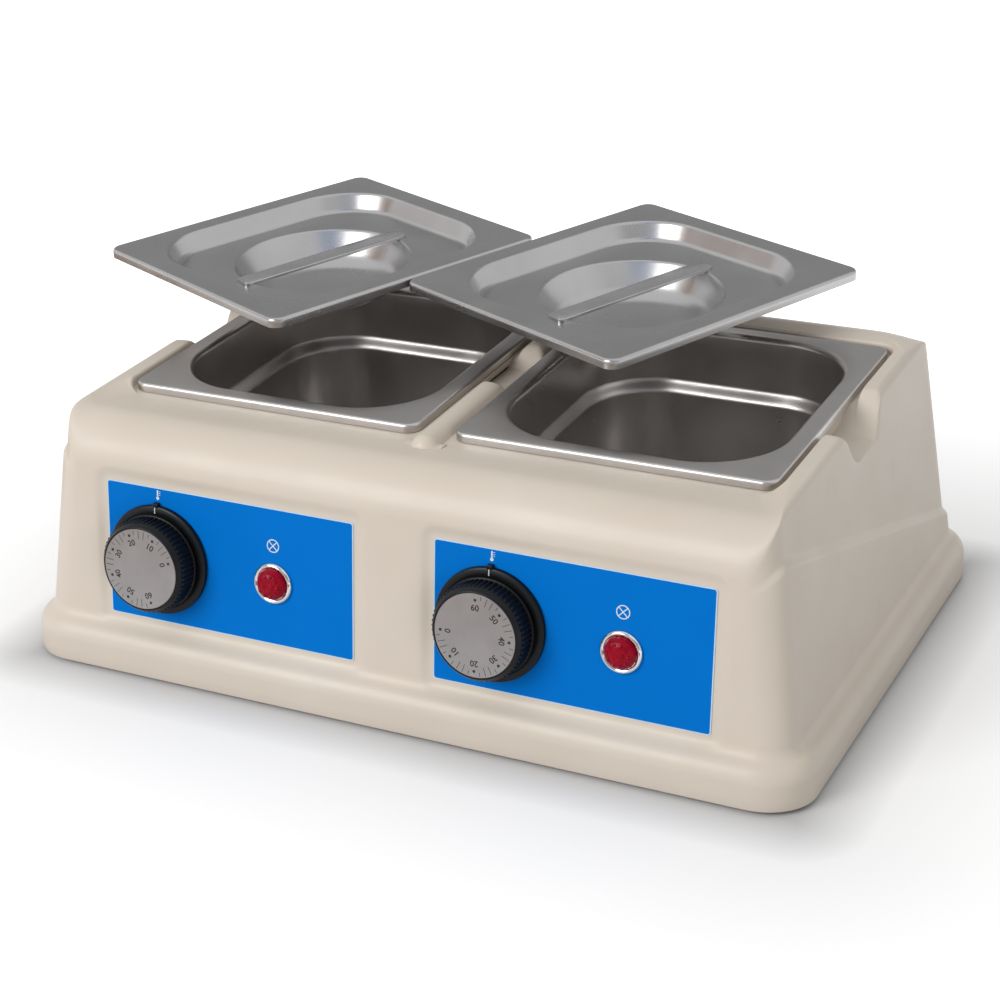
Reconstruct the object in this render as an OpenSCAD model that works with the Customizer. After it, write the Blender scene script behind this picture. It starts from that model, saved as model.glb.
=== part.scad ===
// Double-tank dry-heat melter: a moulded casing with two lift-out pans, two lids,
// and a thermostat and a pilot lamp for each tank. Millimetres, +Z up.
// The origin is on the floor under the middle of the casing's foot; -Y is the control side.

/* [Pans] */
// Width of a pan over its rim, side to side
pan_w = 162; // [150:1:176]
// Length of a pan over its rim, front to back
pan_d = 176; // [160:1:190]
// Inside height of a pan
pan_h = 100; // [80:1:110]
// Width of the pan's flange, from rim to wall
pan_flange = 11; // [9:0.5:14]
// Plan radius where two pan walls meet
pan_corner = 40; // [28:1:50]
// Plan radius of the corners of a pan's rim
rim_corner = 7; // [5:0.5:10]
// Height of the turned-down rim of a pan
rim_h = 4.3; // [3.5:0.1:6]
// Depth of the stacking shoulder below the flange
shoulder_z = 30; // [20:1:34]
// How far the shoulder steps in
shoulder_in = 4; // [3:0.5:6]
// Radius between a pan's wall and floor
floor_r = 15; // [10:1:20]
// Sheet thickness of the pans and lids
sheet = 0.8; // [0.6:0.1:1.2]
// Gap between the two pans' rims
pan_gap = 19.6; // [17:0.2:30]

/* [Lids] */
// Width of a lid over its rim
lid_w = 161; // [152:1:170]
// Length of a lid over its rim
lid_d = 175; // [164:1:184]
// Height of a lid's turned-down rim
lid_rim_h = 5; // [3.5:0.1:6]
// Width of a lid's flat flange
lid_flange = 13; // [10:0.5:16]
// Plan radius of a lid's recess
lid_recess_r = 38; // [28:1:42]
// Depth of a lid's recess
lid_recess_h = 10; // [7:0.5:12]
// Radius of the round bowl in a lid
bowl_r = 47.5; // [42:0.5:52]
// Depth of the bowl below a lid's flange
bowl_h = 28; // [24:0.5:32]
// Width of the strap handle
strap_w = 12; // [9:0.5:18]
// Thickness of the strap handle
strap_t = 1.6; // [1.2:0.1:2.4]
// How far each end of the strap lies on the lid
strap_lap = 4.5; // [3:0.5:6]
// Turn of the resting lids seen from above
lid_turn = -24.5; // [-30:0.5:-20]
// How far the left lid's middle rests left of its pan's middle
lid_off_x = 52.5; // [44:0.5:56]
// How far the left lid's middle rests behind its pan's middle
lid_off_y = 59.7; // [50:0.5:64]
// Space between the two resting lids
lid_gap = 1.1; // [0.6:0.1:4]
// How far back the right lid is slid along the left one
lid_slide = 82; // [60:1:90]
// How much more a resting lid leans than the deck
lid_lean = 0.6; // [0:0.1:0.8]

/* [Casing] */
// Wall thickness of the moulded casing
wall = 3.2; // [2.6:0.1:4]
// Backward rise of the deck, in degrees
deck_tilt = 1.7; // [0:0.1:2.5]
// Room between the floor and the heating mats
under_room = 27.2; // [24:0.2:40]
// Width of the side ridges beside the pans, at deck level
ridge_w = 13; // [8.5:0.1:14]
// Height of the ridges above the pans' flanges
ridge_rise = 0.5; // [0:0.1:0.8]
// Play between a pan's rim and the ridges
rim_play = 2.6; // [1.5:0.1:2.8]
// Depth of the apron in front of the pans
apron_w = 44.7; // [40:1:60]
// Depth of the ledge behind the pans
back_w = 40.4; // [32:0.2:60]
// Slope of the side walls, run over rise
side_lean = 0.12; // [0.1:0.005:0.2]
// Slope of the front wall, in degrees
front_lean = 5.7; // [2:0.1:8]
// Plan radius of the upper walls' corners
wall_corner = 15; // [12:0.5:18]
// Plan radius of the back corners at deck level
back_corner = 26; // [15:1:30]
// Radius of the side walls' top edge
side_top_r = 3.5; // [3:0.5:4.5]
// Radius of the front wall's top edge
front_top_r = 22; // [14:1:26]
// Radius of the back wall's top edge
back_top_r = 29; // [12:1:30]
// How far the lower walls stand proud of the upper walls
step_out = 2.4; // [1.5:0.1:3]
// Height of the step where it starts, at the front corners
step_front_z = 110; // [104:1:111]
// Height of the step at the back corners
step_back_z = 34.5; // [34:0.5:60]
// Height of the upright part of the foot skirt
skirt_h = 12; // [8:0.5:14]
// Radius of the skirt's rounded shoulder
skirt_r = 10.5; // [8:0.5:14]
// Radius of the hollow fillet above the shoulder
skirt_fillet = 7.5; // [6:0.5:10]
// Height of the skirt's lower edge above the floor
foot_gap = 2; // [1:0.5:5]

/* [Finger notches] */
// Length of a notch at deck level
notch_top = 50; // [40:1:60]
// Length of a notch at its floor
notch_floor = 34; // [26:1:38]
// Depth of the side notches below the deck
notch_h = 17; // [12:0.5:20]
// Depth of the notch in the middle ridge
mid_notch_h = 9; // [7:0.5:11]
// Radius of the notches' floor corners
notch_r = 7; // [4:0.5:9]
// Fall of the side notches' floors, in degrees
notch_fall = 16; // [8:1:22]

/* [Controls] */
// Width of a control label
label_w = 139; // [130:1:142]
// Height of a control label
label_h = 70; // [66:1:74]
// Thickness of a control label
label_t = 0.5; // [0.3:0.1:0.8]
// Height of the labels' middle above the floor
label_z = 65; // [64:0.5:70]
// How far a label is shifted right of its pan's middle
label_shift = 2.5; // [0:0.1:8]
// Margin of the recess around a label
recess_margin = 4.5; // [4:0.5:7]
// Depth of the recess behind a label
recess_h = 1.2; // [0.8:0.1:1.4]
// Place of the knob, left of the label's middle
knob_x = 39.8; // [38:0.1:44]
// Place of the knob, below the label's middle
knob_drop = 1.9; // [0:0.1:4]
// Radius of the ring around the knob
bezel_r = 28; // [27:0.5:31]
// Thickness of the ring around the knob
bezel_t = 3; // [2.6:0.1:4]
// Radius of the knob at its foot
knob_r = 24; // [23:0.5:26]
// Height of the knob
knob_h = 13; // [12:0.5:18]
// Depth of the knob's knurl
knurl_h = 0.8; // [0.4:0.1:1.2]
// Number of ribs in the knurl
knurl_n = 60; // [36:2:72]
// Radius of the numbered dial disc
dial_r = 20.5; // [19:0.5:22]
// Thickness of the dial disc
dial_t = 0.8; // [0.5:0.1:1]
// Radius of a thermostat's shaft
shaft_r = 3; // [2.5:0.1:3.5]
// Width of a thermostat body
stat_w = 40; // [34:1:46]
// Height of a thermostat body
stat_h = 44; // [36:1:48]
// Depth of a thermostat body
stat_d = 24; // [18:1:28]
// Place of a lamp, right of the label's middle
lamp_x = 25.5; // [20:0.1:30]
// Place of a lamp, below the label's middle
lamp_drop = 3; // [0:0.1:6]
// Radius of a lamp's chrome ring
lamp_ring_r = 10.5; // [10:0.25:12.5]
// Radius of a lamp's lens
lens_r = 8.4; // [7.5:0.1:9]
// Radius of a lamp's threaded barrel
barrel_r = 7.5; // [6.5:0.1:7.6]

/* [Heating] */
// Air gap between a pan and its well
air_gap = 3; // [2:0.5:6]
// Side clearance between a pan and its well
well_play = 1.5; // [1:0.1:2]
// Sheet thickness of a well
well_t = 0.8; // [0.6:0.1:1.2]
// Width of a well's flange
well_flange = 4.5; // [3:0.5:5]
// Thickness of a heating mat
mat_t = 2.8; // [2:0.2:4]
// How far a heating mat stops short of its well's side
mat_margin = 17; // [10:1:25]
// Radius of a thermostat's sensing bulb
bulb_r = 3; // [2.5:0.1:3.5]
// Length of a thermostat's sensing bulb
bulb_l = 90; // [70:1:100]

/* [Base] */
// Thickness of the base plate
plate_t = 1.2; // [1:0.1:2]
// How far the base plate lies up inside the skirt
plate_in = 2; // [1:0.5:4]
// Radius of a rubber foot
foot_r = 12; // [9:0.5:15]
// Radius of the base plate's screws
screw_r = 2; // [1.5:0.1:2.5]
// Radius of the posts that take the base plate's screws
post_r = 5; // [4:0.25:6]
// Place of the cable gland, right of the middle
gland_x = 120; // [60:1:150]
// Height of the cable gland
gland_z = 52; // [48:1:80]
// Radius of the gland's thread
gland_r = 7.6; // [6:0.1:9]
// Radius of the gland's cable passage
cable_r = 3.75; // [2.5:0.05:4]

/* [Hidden] */
$fn = 48;

body_gap = 0.3;                  // space between bodies that part
touch = 0.05;                    // space between pieces of one body
eps = 0.5;                       // overshoot of a cutter
notch_under = 3.5;               // reach of the side notches under a pan's rim
arc_n = 8;                       // facets in each quarter of a lofted ring
top_corner = 8;                  // plan radius of the front corners at deck level
skirt_turn = 60;                 // degrees turned by the skirt's shoulder
rise_frac = 1 - cos(skirt_turn);

// Heights measured up from the floor to the deck's middle
deck_z = under_room + mat_t + well_t + air_gap + sheet + pan_h;
seat_drop = rim_h + body_gap;    // pans' flange plane down to their seat
ledge = skirt_r * rise_frac + skirt_fillet * (1 - cos(skirt_turn));
shoulder_top = foot_gap + skirt_h + skirt_r * sin(skirt_turn);
ledge_z = shoulder_top + skirt_fillet * sin(skirt_turn);
front_run = tan(front_lean);

// Plan of the deck and of the foot
pan_x = (pan_w + pan_gap) / 2;
deck_half = pan_gap / 2 + pan_w + ridge_w;
front_reach = pan_d / 2 + apron_w + front_run * (deck_z - ledge_z) + ledge;
back_reach = pan_d / 2 + back_w + step_out + ledge;
pan_y = (front_reach - back_reach) / 2;
front_y = pan_y - pan_d / 2 - apron_w;
back_y = pan_y + pan_d / 2 + back_w;
pocket_half = pan_gap / 2 + pan_w + rim_play;
mid_half = pan_gap / 2 - rim_play;
apron_z = deck_z - seat_drop - sin(deck_tilt) * (pan_d / 2 + rim_play) + 1;

// Wells
well_half_x = pan_w / 2 - pan_flange + sheet + well_play;
well_half_y = pan_d / 2 - pan_flange + sheet + well_play;
well_corner = pan_corner + sheet + well_play;
well_floor = -(pan_h + sheet + air_gap);

// Lids at rest: their bowls stand on the ridges and flanges behind the openings
lid_bottom = bowl_h + sheet;
lid_lift = lid_bottom + body_gap + ridge_rise + sin(lid_lean) * bowl_r;
lid_left = [-pan_x - lid_off_x, lid_off_y];
lid_right = lid_left + (lid_w + lid_gap) * [cos(lid_turn), sin(lid_turn)]
    + lid_slide * [-sin(lid_turn), cos(lid_turn)];

// Control panel
panel_front = -recess_h;         // face of the recess, counted from the front wall
label_front = panel_front + label_t;
bezel_front = label_front + bezel_t;
knob_back = bezel_front + 1;
knob_front = knob_back + knob_h;
panel_back = -wall;
bush_r = shaft_r + 2;
stat_screw = 14;                 // half the distance between a thermostat's screws
stat_screw_r = 2;
stat_head_r = 3.4;
stat_head_h = 1.8;
lens_h = 5.5;

// Base
plate_z = foot_gap + plate_in;
plate_top = plate_z + plate_t;
foot_half = deck_half + side_lean * (deck_z - ledge_z) + step_out + ledge;
foot_deep = (front_reach + back_reach) / 2;
foot_corner = wall_corner + step_out + ledge;
post_x = deck_half + side_lean * (deck_z - post_top()) - wall - post_r;
post_y = foot_deep - ledge - wall - 2 * post_r;

function post_top() = ledge_z + 30;
function deck_at(y) = deck_z + tan(deck_tilt) * (y - pan_y);
function mix(a, b, t) = a + (b - a) * t;

// Walls of the casing at height z; below the ledge they go on upright
function side_at(z) = deck_half + side_lean * (deck_z - max(z, ledge_z));
function front_at(z) = front_y - front_run * (deck_z - max(z, ledge_z));

// Plan radius of the walls' corners; the back ones widen towards the deck
function corner_at(sy, z) = sy < 0 ? wall_corner
    : mix(back_corner, wall_corner, (deck_z - max(z, ledge_z)) / (deck_z - ledge_z));

// A direction's share of side and of front, for blending round the corners
function side_share(a) = pow(cos(a), 2);
function is_front(a) = sin(a) < 0;
function ring_angles() = [for (q = [0:3], k = [0:arc_n]) 90 * q + 90 * k / arc_n];
function sign_x(q) = (q == 0 || q == 3) ? 1 : -1;
function ring_signs() = [for (q = [0:3], k = [0:arc_n]) [sign_x(q), q < 2 ? 1 : -1]];

// Rounded rectangle ring in a plane
function rr_ring(half_x, half_y, r, z) =
    let (a = ring_angles(), s = ring_signs())
    [for (i = [0:len(a) - 1])
        [s[i][0] * (half_x - r) + r * cos(a[i]), s[i][1] * (half_y - r) + r * sin(a[i]), z]];

// Closed skin through rings that have the same number of points
module skin(rings) {
    n = len(rings[0]);
    m = len(rings);
    walls = [for (k = [0:m - 2], i = [0:n - 1])
        let (j = (i + 1) % n)
        each [
            [k * n + i, (k + 1) * n + j, k * n + j],
            [k * n + i, (k + 1) * n + i, (k + 1) * n + j]
        ]];
    first = [for (i = [0:n - 1]) i];
    last = [for (i = [n - 1:-1:0]) (m - 1) * n + i];
    polyhedron([for (r = rings) each r], concat([first], walls, [last]), convexity = 12);
}

// Bent sheet: its upper side is a list of [half_x, half_y, corner, z], rim first
function steps(p, k) =
    let (a = p[max(k - 1, 0)], b = p[min(k + 1, len(p) - 1)], d = [a[0] - b[0], b[3] - a[3]])
    d / norm(d);
function under(p, t) = [for (k = [0:len(p) - 1])
    let (d = steps(p, k), in = t * d[1])
    [p[k][0] - in, p[k][1] - in, p[k][2] - in, p[k][3] - t * d[0]]];
module bent_sheet(p, t) {
    u = under(p, t);
    back = [for (k = [len(u) - 1:-1:0]) u[k]];
    skin([for (q = concat(back, p)) rr_ring(q[0], q[1], q[2], q[3])]);
}

module rr(w, d, r) {
    square([w - 2 * r, d], center = true);
    square([w, d - 2 * r], center = true);
    for (x = [-1, 1], y = [-1, 1])
        translate([x * (w / 2 - r), y * (d / 2 - r)])
            circle(r);
}

module ring_2d(outer, inner) {
    difference() {
        circle(outer);
        circle(inner);
    }
}

module rod(a, b, r) {
    d = b - a;
    translate(a)
        rotate([0, acos(d[2] / norm(d)), atan2(d[1], d[0])])
            cylinder(h = norm(d), r = r);
}

module wire(points, r) {
    for (k = [0:len(points) - 2])
        rod(points[k], points[k + 1], r);
    for (k = [1:len(points) - 2])
        translate(points[k])
            sphere(r);
}

// Frames: the pans' flange plane, one pan, the front wall and one control label
module on_deck() {
    translate([0, pan_y, deck_z])
        rotate([deck_tilt, 0, 0])
            children();
}

module at_pan(side) {
    on_deck()
        translate([side * pan_x, 0, 0])
            children();
}

module on_front() {
    translate([0, front_at(label_z), label_z])
        rotate([90 - front_lean, 0, 0])
            children();
}

module at_label(side) {
    on_front()
        translate([side * pan_x + label_shift, 0, 0])
            children();
}

module at_knob(side) {
    at_label(side)
        translate([-knob_x, -knob_drop, 0])
            children();
}

module at_lamp(side) {
    at_label(side)
        translate([lamp_x, -lamp_drop, 0])
            children();
}

// ---- Casing ----

// Ring point of the casing, moved in from its walls and out along the corner's radius
function wall_point(sx, sy, a, z, out, in_x = 0, in_y = 0, corner = undef) =
    let (
        r = is_undef(corner) ? corner_at(sy, z) : corner,
        cy = sy > 0 ? back_y - in_y - r : front_at(z) + in_y + r
    )
    [sx * (side_at(z) - in_x - r) + (r + out) * cos(a), cy + (r + out) * sin(a), z];

function proud(a) = step_out * (is_front(a) ? side_share(a) : 1);
function point_y(sy, a, z) =
    let (r = corner_at(sy, z))
    (sy > 0 ? back_y - r : front_at(z) + r) + r * sin(a);
function step_z(sy, a) =
    let (
        y0 = front_at(step_front_z) + wall_corner,
        t = (point_y(sy, a, label_z) - y0) / (back_y - y0),
        z = mix(step_front_z, step_back_z, max(0, min(1, t)))
    )
    is_front(a) ? mix(step_front_z - 10, z, side_share(a)) : z;

function edge_r(a) = mix(end_r(a), side_top_r, side_share(a));
function top_z(sy, a) =
    let (z = deck_at(point_y(sy, a, deck_z)) + ridge_rise)
    is_front(a) ? mix(apron_z, z, side_share(a)) : z;

function flat_ring(z, off) =
    let (a = ring_angles(), s = ring_signs())
    [for (i = [0:len(a) - 1]) wall_point(s[i][0], s[i][1], a[i], z, off + proud(a[i]))];
function step_ring(dz, t) =
    let (a = ring_angles(), s = ring_signs())
    [for (i = [0:len(a) - 1])
        wall_point(s[i][0], s[i][1], a[i], step_z(s[i][1], a[i]) + dz, proud(a[i]) * (1 - t))];
function end_r(a) = is_front(a) ? front_top_r : back_top_r;
function top_ring(phi) =
    let (a = ring_angles(), s = ring_signs(), t = 1 - cos(phi))
    [for (i = [0:len(a) - 1])
        wall_point(s[i][0], s[i][1], a[i], top_z(s[i][1], a[i]) - edge_r(a[i]) * (1 - sin(phi)),
            0, side_top_r * t, end_r(a[i]) * t,
            s[i][1] < 0 ? mix(wall_corner, top_corner, t) : back_corner)];

// Ring of the pans' pocket: grow is outward, rise is the share of the ridge's height
function pocket_ring(grow, rise) =
    let (a = ring_angles(), s = ring_signs(), r = rim_corner + rim_play + grow)
    [for (i = [0:len(a) - 1])
        let (
            y = s[i][1] * (pan_d / 2 + rim_play + grow - r) + r * sin(a[i]) + pan_y,
            h = is_front(a[i]) ? side_share(a[i]) : 1
        )
        [s[i][0] * (pocket_half + grow - r) + r * cos(a[i]), y,
            deck_at(y) - seat_drop + rise * h * (seat_drop + ridge_rise)]];

module casing_outside() {
    skin(concat(
        [flat_ring(foot_gap, ledge)],
        [for (b = [0:15:skirt_turn])
            flat_ring(foot_gap + skirt_h + skirt_r * sin(b), ledge - skirt_r * (1 - cos(b)))],
        [for (b = [45:-15:0])
            flat_ring(shoulder_top + skirt_fillet * (sin(skirt_turn) - sin(b)),
                skirt_fillet * (1 - cos(b)))],
        [step_ring(-2.2, 0), step_ring(-0.9, 0.2), step_ring(0.9, 0.8), step_ring(2.2, 1)],
        [for (phi = [0:15:90]) top_ring(phi)],
        [pocket_ring(1.6, 1), pocket_ring(0.5, 0.75), pocket_ring(0, 0.35), pocket_ring(0, 0)]
    ));
}

function inner_top_ring(phi) =
    let (a = ring_angles(), s = ring_signs(), t = 1 - cos(phi))
    [for (i = [0:len(a) - 1])
        let (
            z = deck_at(point_y(s[i][1], a[i], deck_z)) - seat_drop - wall,
            in_x = side_top_r * t,
            in_y = (end_r(a[i]) - wall) * t,
            r = s[i][1] < 0 ? mix(wall_corner - wall, top_corner, t) : back_corner - wall
        )
        wall_point(s[i][0], s[i][1], a[i], z - (edge_r(a[i]) - wall / 2) * (1 - sin(phi)),
            0, wall + in_x, wall + in_y, r)];

function inner_ring(z) =
    let (a = ring_angles(), s = ring_signs())
    [for (i = [0:len(a) - 1]) wall_point(s[i][0], s[i][1], a[i], z, -wall)];

module casing_inside() {
    skin(concat(
        [flat_ring(foot_gap - eps, ledge - wall), flat_ring(foot_gap + skirt_h, ledge - wall)],
        [flat_ring(shoulder_top - wall, ledge * 0.45 - wall), inner_ring(ledge_z)],
        [for (phi = [0, 45, 90]) inner_top_ring(phi)]
    ));
}

// Notch profile, wide above, with round corners below
module notch_profile(depth, grow) {
    half = notch_top / 2 + grow;
    low = notch_floor / 2 + grow;
    run = (half - low) / depth;
    top = ridge_rise + 4;
    slope = atan(1 / run);
    r = notch_r + grow;
    leg = r * tan(slope / 2);
    arc = [for (b = [0:0.25:1]) r * [sin(b * slope), 1 - cos(b * slope)] + [low - leg, -depth - grow]];
    polygon(concat(
        [[half + run * top, top], [-half - run * top, top]],
        [for (k = [len(arc) - 1:-1:0]) [-arc[k][0], arc[k][1]]],
        arc
    ));
}

// Scoop beside a pan's rim, cut down and out through the side wall
module side_notch(side, grow) {
    inner = pocket_half - rim_play - notch_under - grow;
    on_deck()
        intersection() {
            translate([side * inner, 0, 0])
                rotate([0, side * notch_fall, 0])
                    rotate([90, 0, side * 90])
                        translate([0, 0, -8])
                            linear_extrude(48)
                                notch_profile(notch_h - 3, grow);
            translate([side > 0 ? inner : -inner - 40, -notch_top, -2 * notch_h])
                cube([40, 2 * notch_top, 3 * notch_h]);
        }
}

module mid_notch(grow) {
    on_deck()
        translate([-pan_gap / 2 - grow, 0, 0])
            rotate([90, 0, 90])
                linear_extrude(pan_gap + 2 * grow)
                    notch_profile(mid_notch_h, grow);
}

// Round-backed ridge between the two pans
module mid_ridge() {
    h = ridge_rise + 0.5;
    front = -pan_d / 2 - 8;
    back = pan_d / 2 + rim_play + 6;
    on_deck()
        translate([0, 0, h - mid_half]) {
            translate([0, front, 0])
                rotate([-90, 0, 0])
                    cylinder(h = back - front, r = mid_half);
            for (y = [front, back])
                translate([0, y, 0])
                    sphere(mid_half);
            translate([-mid_half, front, -seat_drop])
                cube([2 * mid_half, back - front, seat_drop]);
        }
}

module well_hole(side) {
    at_pan(side)
        translate([0, 0, -3 * notch_h])
            linear_extrude(3 * notch_h + ridge_rise + 4)
                rr(2 * (well_half_x + well_t + 0.4), 2 * (well_half_y + well_t + 0.4),
                    well_corner + well_t + 0.4);
}

module label_recess(side) {
    w = label_w / 2 + recess_margin;
    h = label_h / 2 + recess_margin;
    at_label(side)
        skin([
            rr_ring(w - recess_h, h - recess_h, 5, panel_front),
            rr_ring(w + recess_h, h + recess_h, 5 + 2 * recess_h, recess_h)
        ]);
}

module panel_holes(side) {
    at_knob(side) {
        translate([0, 0, panel_back - 2])
            cylinder(h = wall + 4, r = bush_r + 0.3);
        for (s = [-1, 1])
            translate([0, s * stat_screw, panel_back - 2])
                cylinder(h = wall + 4, r = stat_screw_r + 0.2);
    }
    at_lamp(side)
        translate([0, 0, panel_back - 2])
            cylinder(h = wall + 4, r = barrel_r + 0.2);
}

module post(x, y) {
    difference() {
        translate([x, y, plate_top])
            cylinder(h = post_top() - plate_top, r = post_r);
        translate([x, y, plate_top - eps])
            cylinder(h = 14 + eps, r = screw_r);
    }
}

module body_shell() {
    color("antiquewhite") {
        difference() {
            union() {
                casing_outside();
                mid_ridge();
            }
            difference() {
                casing_inside();
                for (side = [-1, 1])
                    side_notch(side, wall);
                mid_notch(wall);
            }
            for (side = [-1, 1]) {
                well_hole(side);
                side_notch(side, 0);
                label_recess(side);
                panel_holes(side);
            }
            mid_notch(0);
            translate([gland_x, back_y + step_out + eps, gland_z])
                rotate([90, 0, 0])
                    cylinder(h = wall + step_out + 2 * eps, r = gland_r + 0.2);
        }
        for (x = [-1, 1], y = [-1, 1])
            post(x * post_x, y * post_y);
    }
}

// ---- Base ----

module foot_place(sx, sy) {
    translate([sx * (foot_half - ledge - foot_r - 18), sy * (foot_deep - ledge - foot_r - 18), 0])
        children();
}

module base_plate() {
    in = wall + touch + 0.3;
    color("silver")
        translate([0, 0, plate_z])
            linear_extrude(plate_t)
                difference() {
                    rr(2 * (foot_half - in), 2 * (foot_deep - in), foot_corner - in);
                    for (x = [-1, 1], y = [-1, 1]) {
                        translate([x * post_x, y * post_y])
                            circle(screw_r + 0.2);
                        foot_place(x, y)
                            circle(screw_r + 0.2);
                    }
                }
}

module screw(r, length, head_r, head_h) {
    cylinder(h = length, r = r);
    translate([0, 0, -head_h])
        cylinder(h = head_h, r = head_r);
}

module base_screws() {
    color("dimgray")
        for (x = [-1, 1], y = [-1, 1])
            translate([x * post_x, y * post_y, plate_z])
                screw(screw_r - touch, plate_t + 12, 2 * screw_r, min(1.6, plate_z - 0.5));
}

module foot(sx, sy) {
    color("#202020")
        foot_place(sx, sy)
            rotate_extrude()
                polygon([
                    [screw_r + 0.2, 1.4], [2 * screw_r + 0.6, 1.4], [2 * screw_r + 0.6, 0],
                    [foot_r - 1, 0], [foot_r, 1], [foot_r - 0.6, plate_z], [screw_r + 0.2, plate_z]
                ]);
}

module foot_front_left() { foot(-1, -1); }
module foot_front_right() { foot(1, -1); }
module foot_back_left() { foot(-1, 1); }
module foot_back_right() { foot(1, 1); }

module foot_screws() {
    color("dimgray")
        for (x = [-1, 1], y = [-1, 1])
            foot_place(x, y) {
                translate([0, 0, 1.4])
                    screw(screw_r - touch, plate_top - 1.4 + 5, 2 * screw_r, 1);
                translate([0, 0, plate_top])
                    linear_extrude(2.4)
                        difference() {
                            circle(2 * screw_r, $fn = 6);
                            circle(screw_r);
                        }
            }
}

// ---- Pans and lids ----

function pan_profile() =
    let (x = pan_w / 2, y = pan_d / 2, f = pan_flange, c = pan_corner, s = shoulder_in)
    [for (p = [
        [0, rim_corner, -rim_h], [0, rim_corner, -1.6], [0.5, rim_corner - 0.5, -0.45],
        [1.6, rim_corner - 1.6, 0], [f - 3, c + 3, 0], [f - 0.9, c + 0.9, -0.9], [f, c, -3],
        [f + 0.5, c - 0.5, 1.5 - shoulder_z], [f + 1.2, c - 1.2, -shoulder_z - 0.8],
        [f + s - 0.7, c - s + 0.7, -shoulder_z - 3.8], [f + s, c - s, -shoulder_z - 6.5],
        for (b = [0:22.5:90])
            let (in = f + s + 2 + floor_r * (1 - cos(b)))
            [in, c - in + f, -pan_h + floor_r * (1 - sin(b))]
    ]) [x - p[0], y - p[0], p[1], p[2]]];

module pan(side) {
    color("silver")
        at_pan(side)
            bent_sheet(pan_profile(), sheet);
}

module pan_left() { pan(-1); }
module pan_right() { pan(1); }

function lid_profile() =
    let (
        x = lid_w / 2, y = lid_d / 2, f = lid_flange, r = lid_recess_r, h = lid_recess_h,
        b = bowl_r, slope = (bowl_h - h) / 18
    )
    concat(
        [for (p = [
            [0, rim_corner, -lid_rim_h], [0, rim_corner, -1.8], [0.55, rim_corner - 0.55, -0.5],
            [1.8, rim_corner - 1.8, 0], [f - 1.5, r + 1.5, 0], [f, r, -0.6],
            [f + 3.5, r - 3.5, -0.75 * h], [f + 5, r - 5, 0.6 - h], [f + 7, r - 7, -h]
        ]) [x - p[0], y - p[0], p[1], p[2]]],
        [for (q = [
            [b + 2.5, -h], [b + 0.7, -h - 0.7], [b - 0.5, -h - 2.5],
            [b - 6.5, -h - 12.5 * slope], [b - 9, -h - 16 * slope], [b - 13.5, -bowl_h]
        ]) [q[0] + 0.2, q[0] + 0.2, q[0], q[1]]]
    );

module at_lid(side) {
    place = side < 0 ? lid_left : lid_right;
    on_deck()
        translate([place[0], place[1], lid_lift])
            rotate([lid_lean, 0, 0])
                rotate([0, 0, lid_turn])
                    children();
}

module lid(side) {
    color("silver")
        at_lid(side)
            bent_sheet(lid_profile(), sheet);
}

module lid_left() { lid(-1); }
module lid_right() { lid(1); }

module lid_handle(side) {
    color("gainsboro")
        at_lid(side)
            translate([0, 0, -lid_recess_h + touch])
                linear_extrude(strap_t)
                    rr(strap_w, 2 * (bowl_r + 2.5 + strap_lap), 3);
}

module lid_handle_left() { lid_handle(-1); }
module lid_handle_right() { lid_handle(1); }

// ---- Controls ----

module control_label(side) {
    color("dodgerblue")
        at_label(side)
            translate([0, 0, panel_front])
                linear_extrude(label_t)
                    difference() {
                        rr(label_w, label_h, 1.8);
                        translate([-knob_x, -knob_drop]) {
                            circle(bush_r + 0.3);
                            for (s = [-1, 1])
                                translate([0, s * stat_screw])
                                    circle(stat_head_r + 0.3);
                        }
                        translate([lamp_x, -lamp_drop])
                            circle(barrel_r + 0.2);
                    }
}

module control_label_left() { control_label(-1); }
module control_label_right() { control_label(1); }

module dial_bezel(side) {
    hollow_r = stat_screw + stat_head_r + 1;
    hollow_h = stat_head_h + 0.2;
    color("#181818")
        at_knob(side)
            rotate_extrude()
                polygon([
                    [bush_r + 0.4, label_front + hollow_h], [hollow_r, label_front + hollow_h],
                    [hollow_r, label_front], [bezel_r, label_front], [bezel_r, bezel_front - 1],
                    [bezel_r - 1, bezel_front], [bush_r + 0.4, bezel_front]
                ]);
}

module dial_bezel_left() { dial_bezel(-1); }
module dial_bezel_right() { dial_bezel(1); }

function knurl(r, h, n) = [for (i = [0:2 * n - 1])
    (i % 2 == 0 ? r : r - h) * [cos(180 * i / n), sin(180 * i / n)]];

module knob(side) {
    grip = knob_h - 3.2;
    color("#141414")
        at_knob(side)
            translate([0, 0, knob_back])
                difference() {
                    union() {
                        cylinder(h = 1.2, r = knob_r);
                        translate([0, 0, 1.2])
                            linear_extrude(grip)
                                polygon(knurl(knob_r - 0.4, knurl_h, knurl_n));
                        translate([0, 0, 1.2 + grip])
                            cylinder(h = knob_h - 1.2 - grip, r1 = knob_r - 1.6, r2 = dial_r + 0.5);
                    }
                    translate([0, 0, knob_h - dial_t])
                        cylinder(h = dial_t + eps, r = dial_r + touch);
                    translate([0, 0, -eps])
                        cylinder(h = knob_h - 3 + eps, r = shaft_r + 0.02);
                    translate([0, 0, -eps])
                        linear_extrude(knob_h - 5 + eps)
                            ring_2d(knob_r - 3, shaft_r + 3);
                }
}

module thermostat_knob_left() { knob(-1); }
module thermostat_knob_right() { knob(1); }

module dial_disc(side) {
    color("silver")
        at_knob(side)
            translate([0, 0, knob_front - dial_t])
                cylinder(h = dial_t, r = dial_r);
}

module dial_disc_left() { dial_disc(-1); }
module dial_disc_right() { dial_disc(1); }

shaft_in = 16;                   // length of the shaft inside the thermostat

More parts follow.
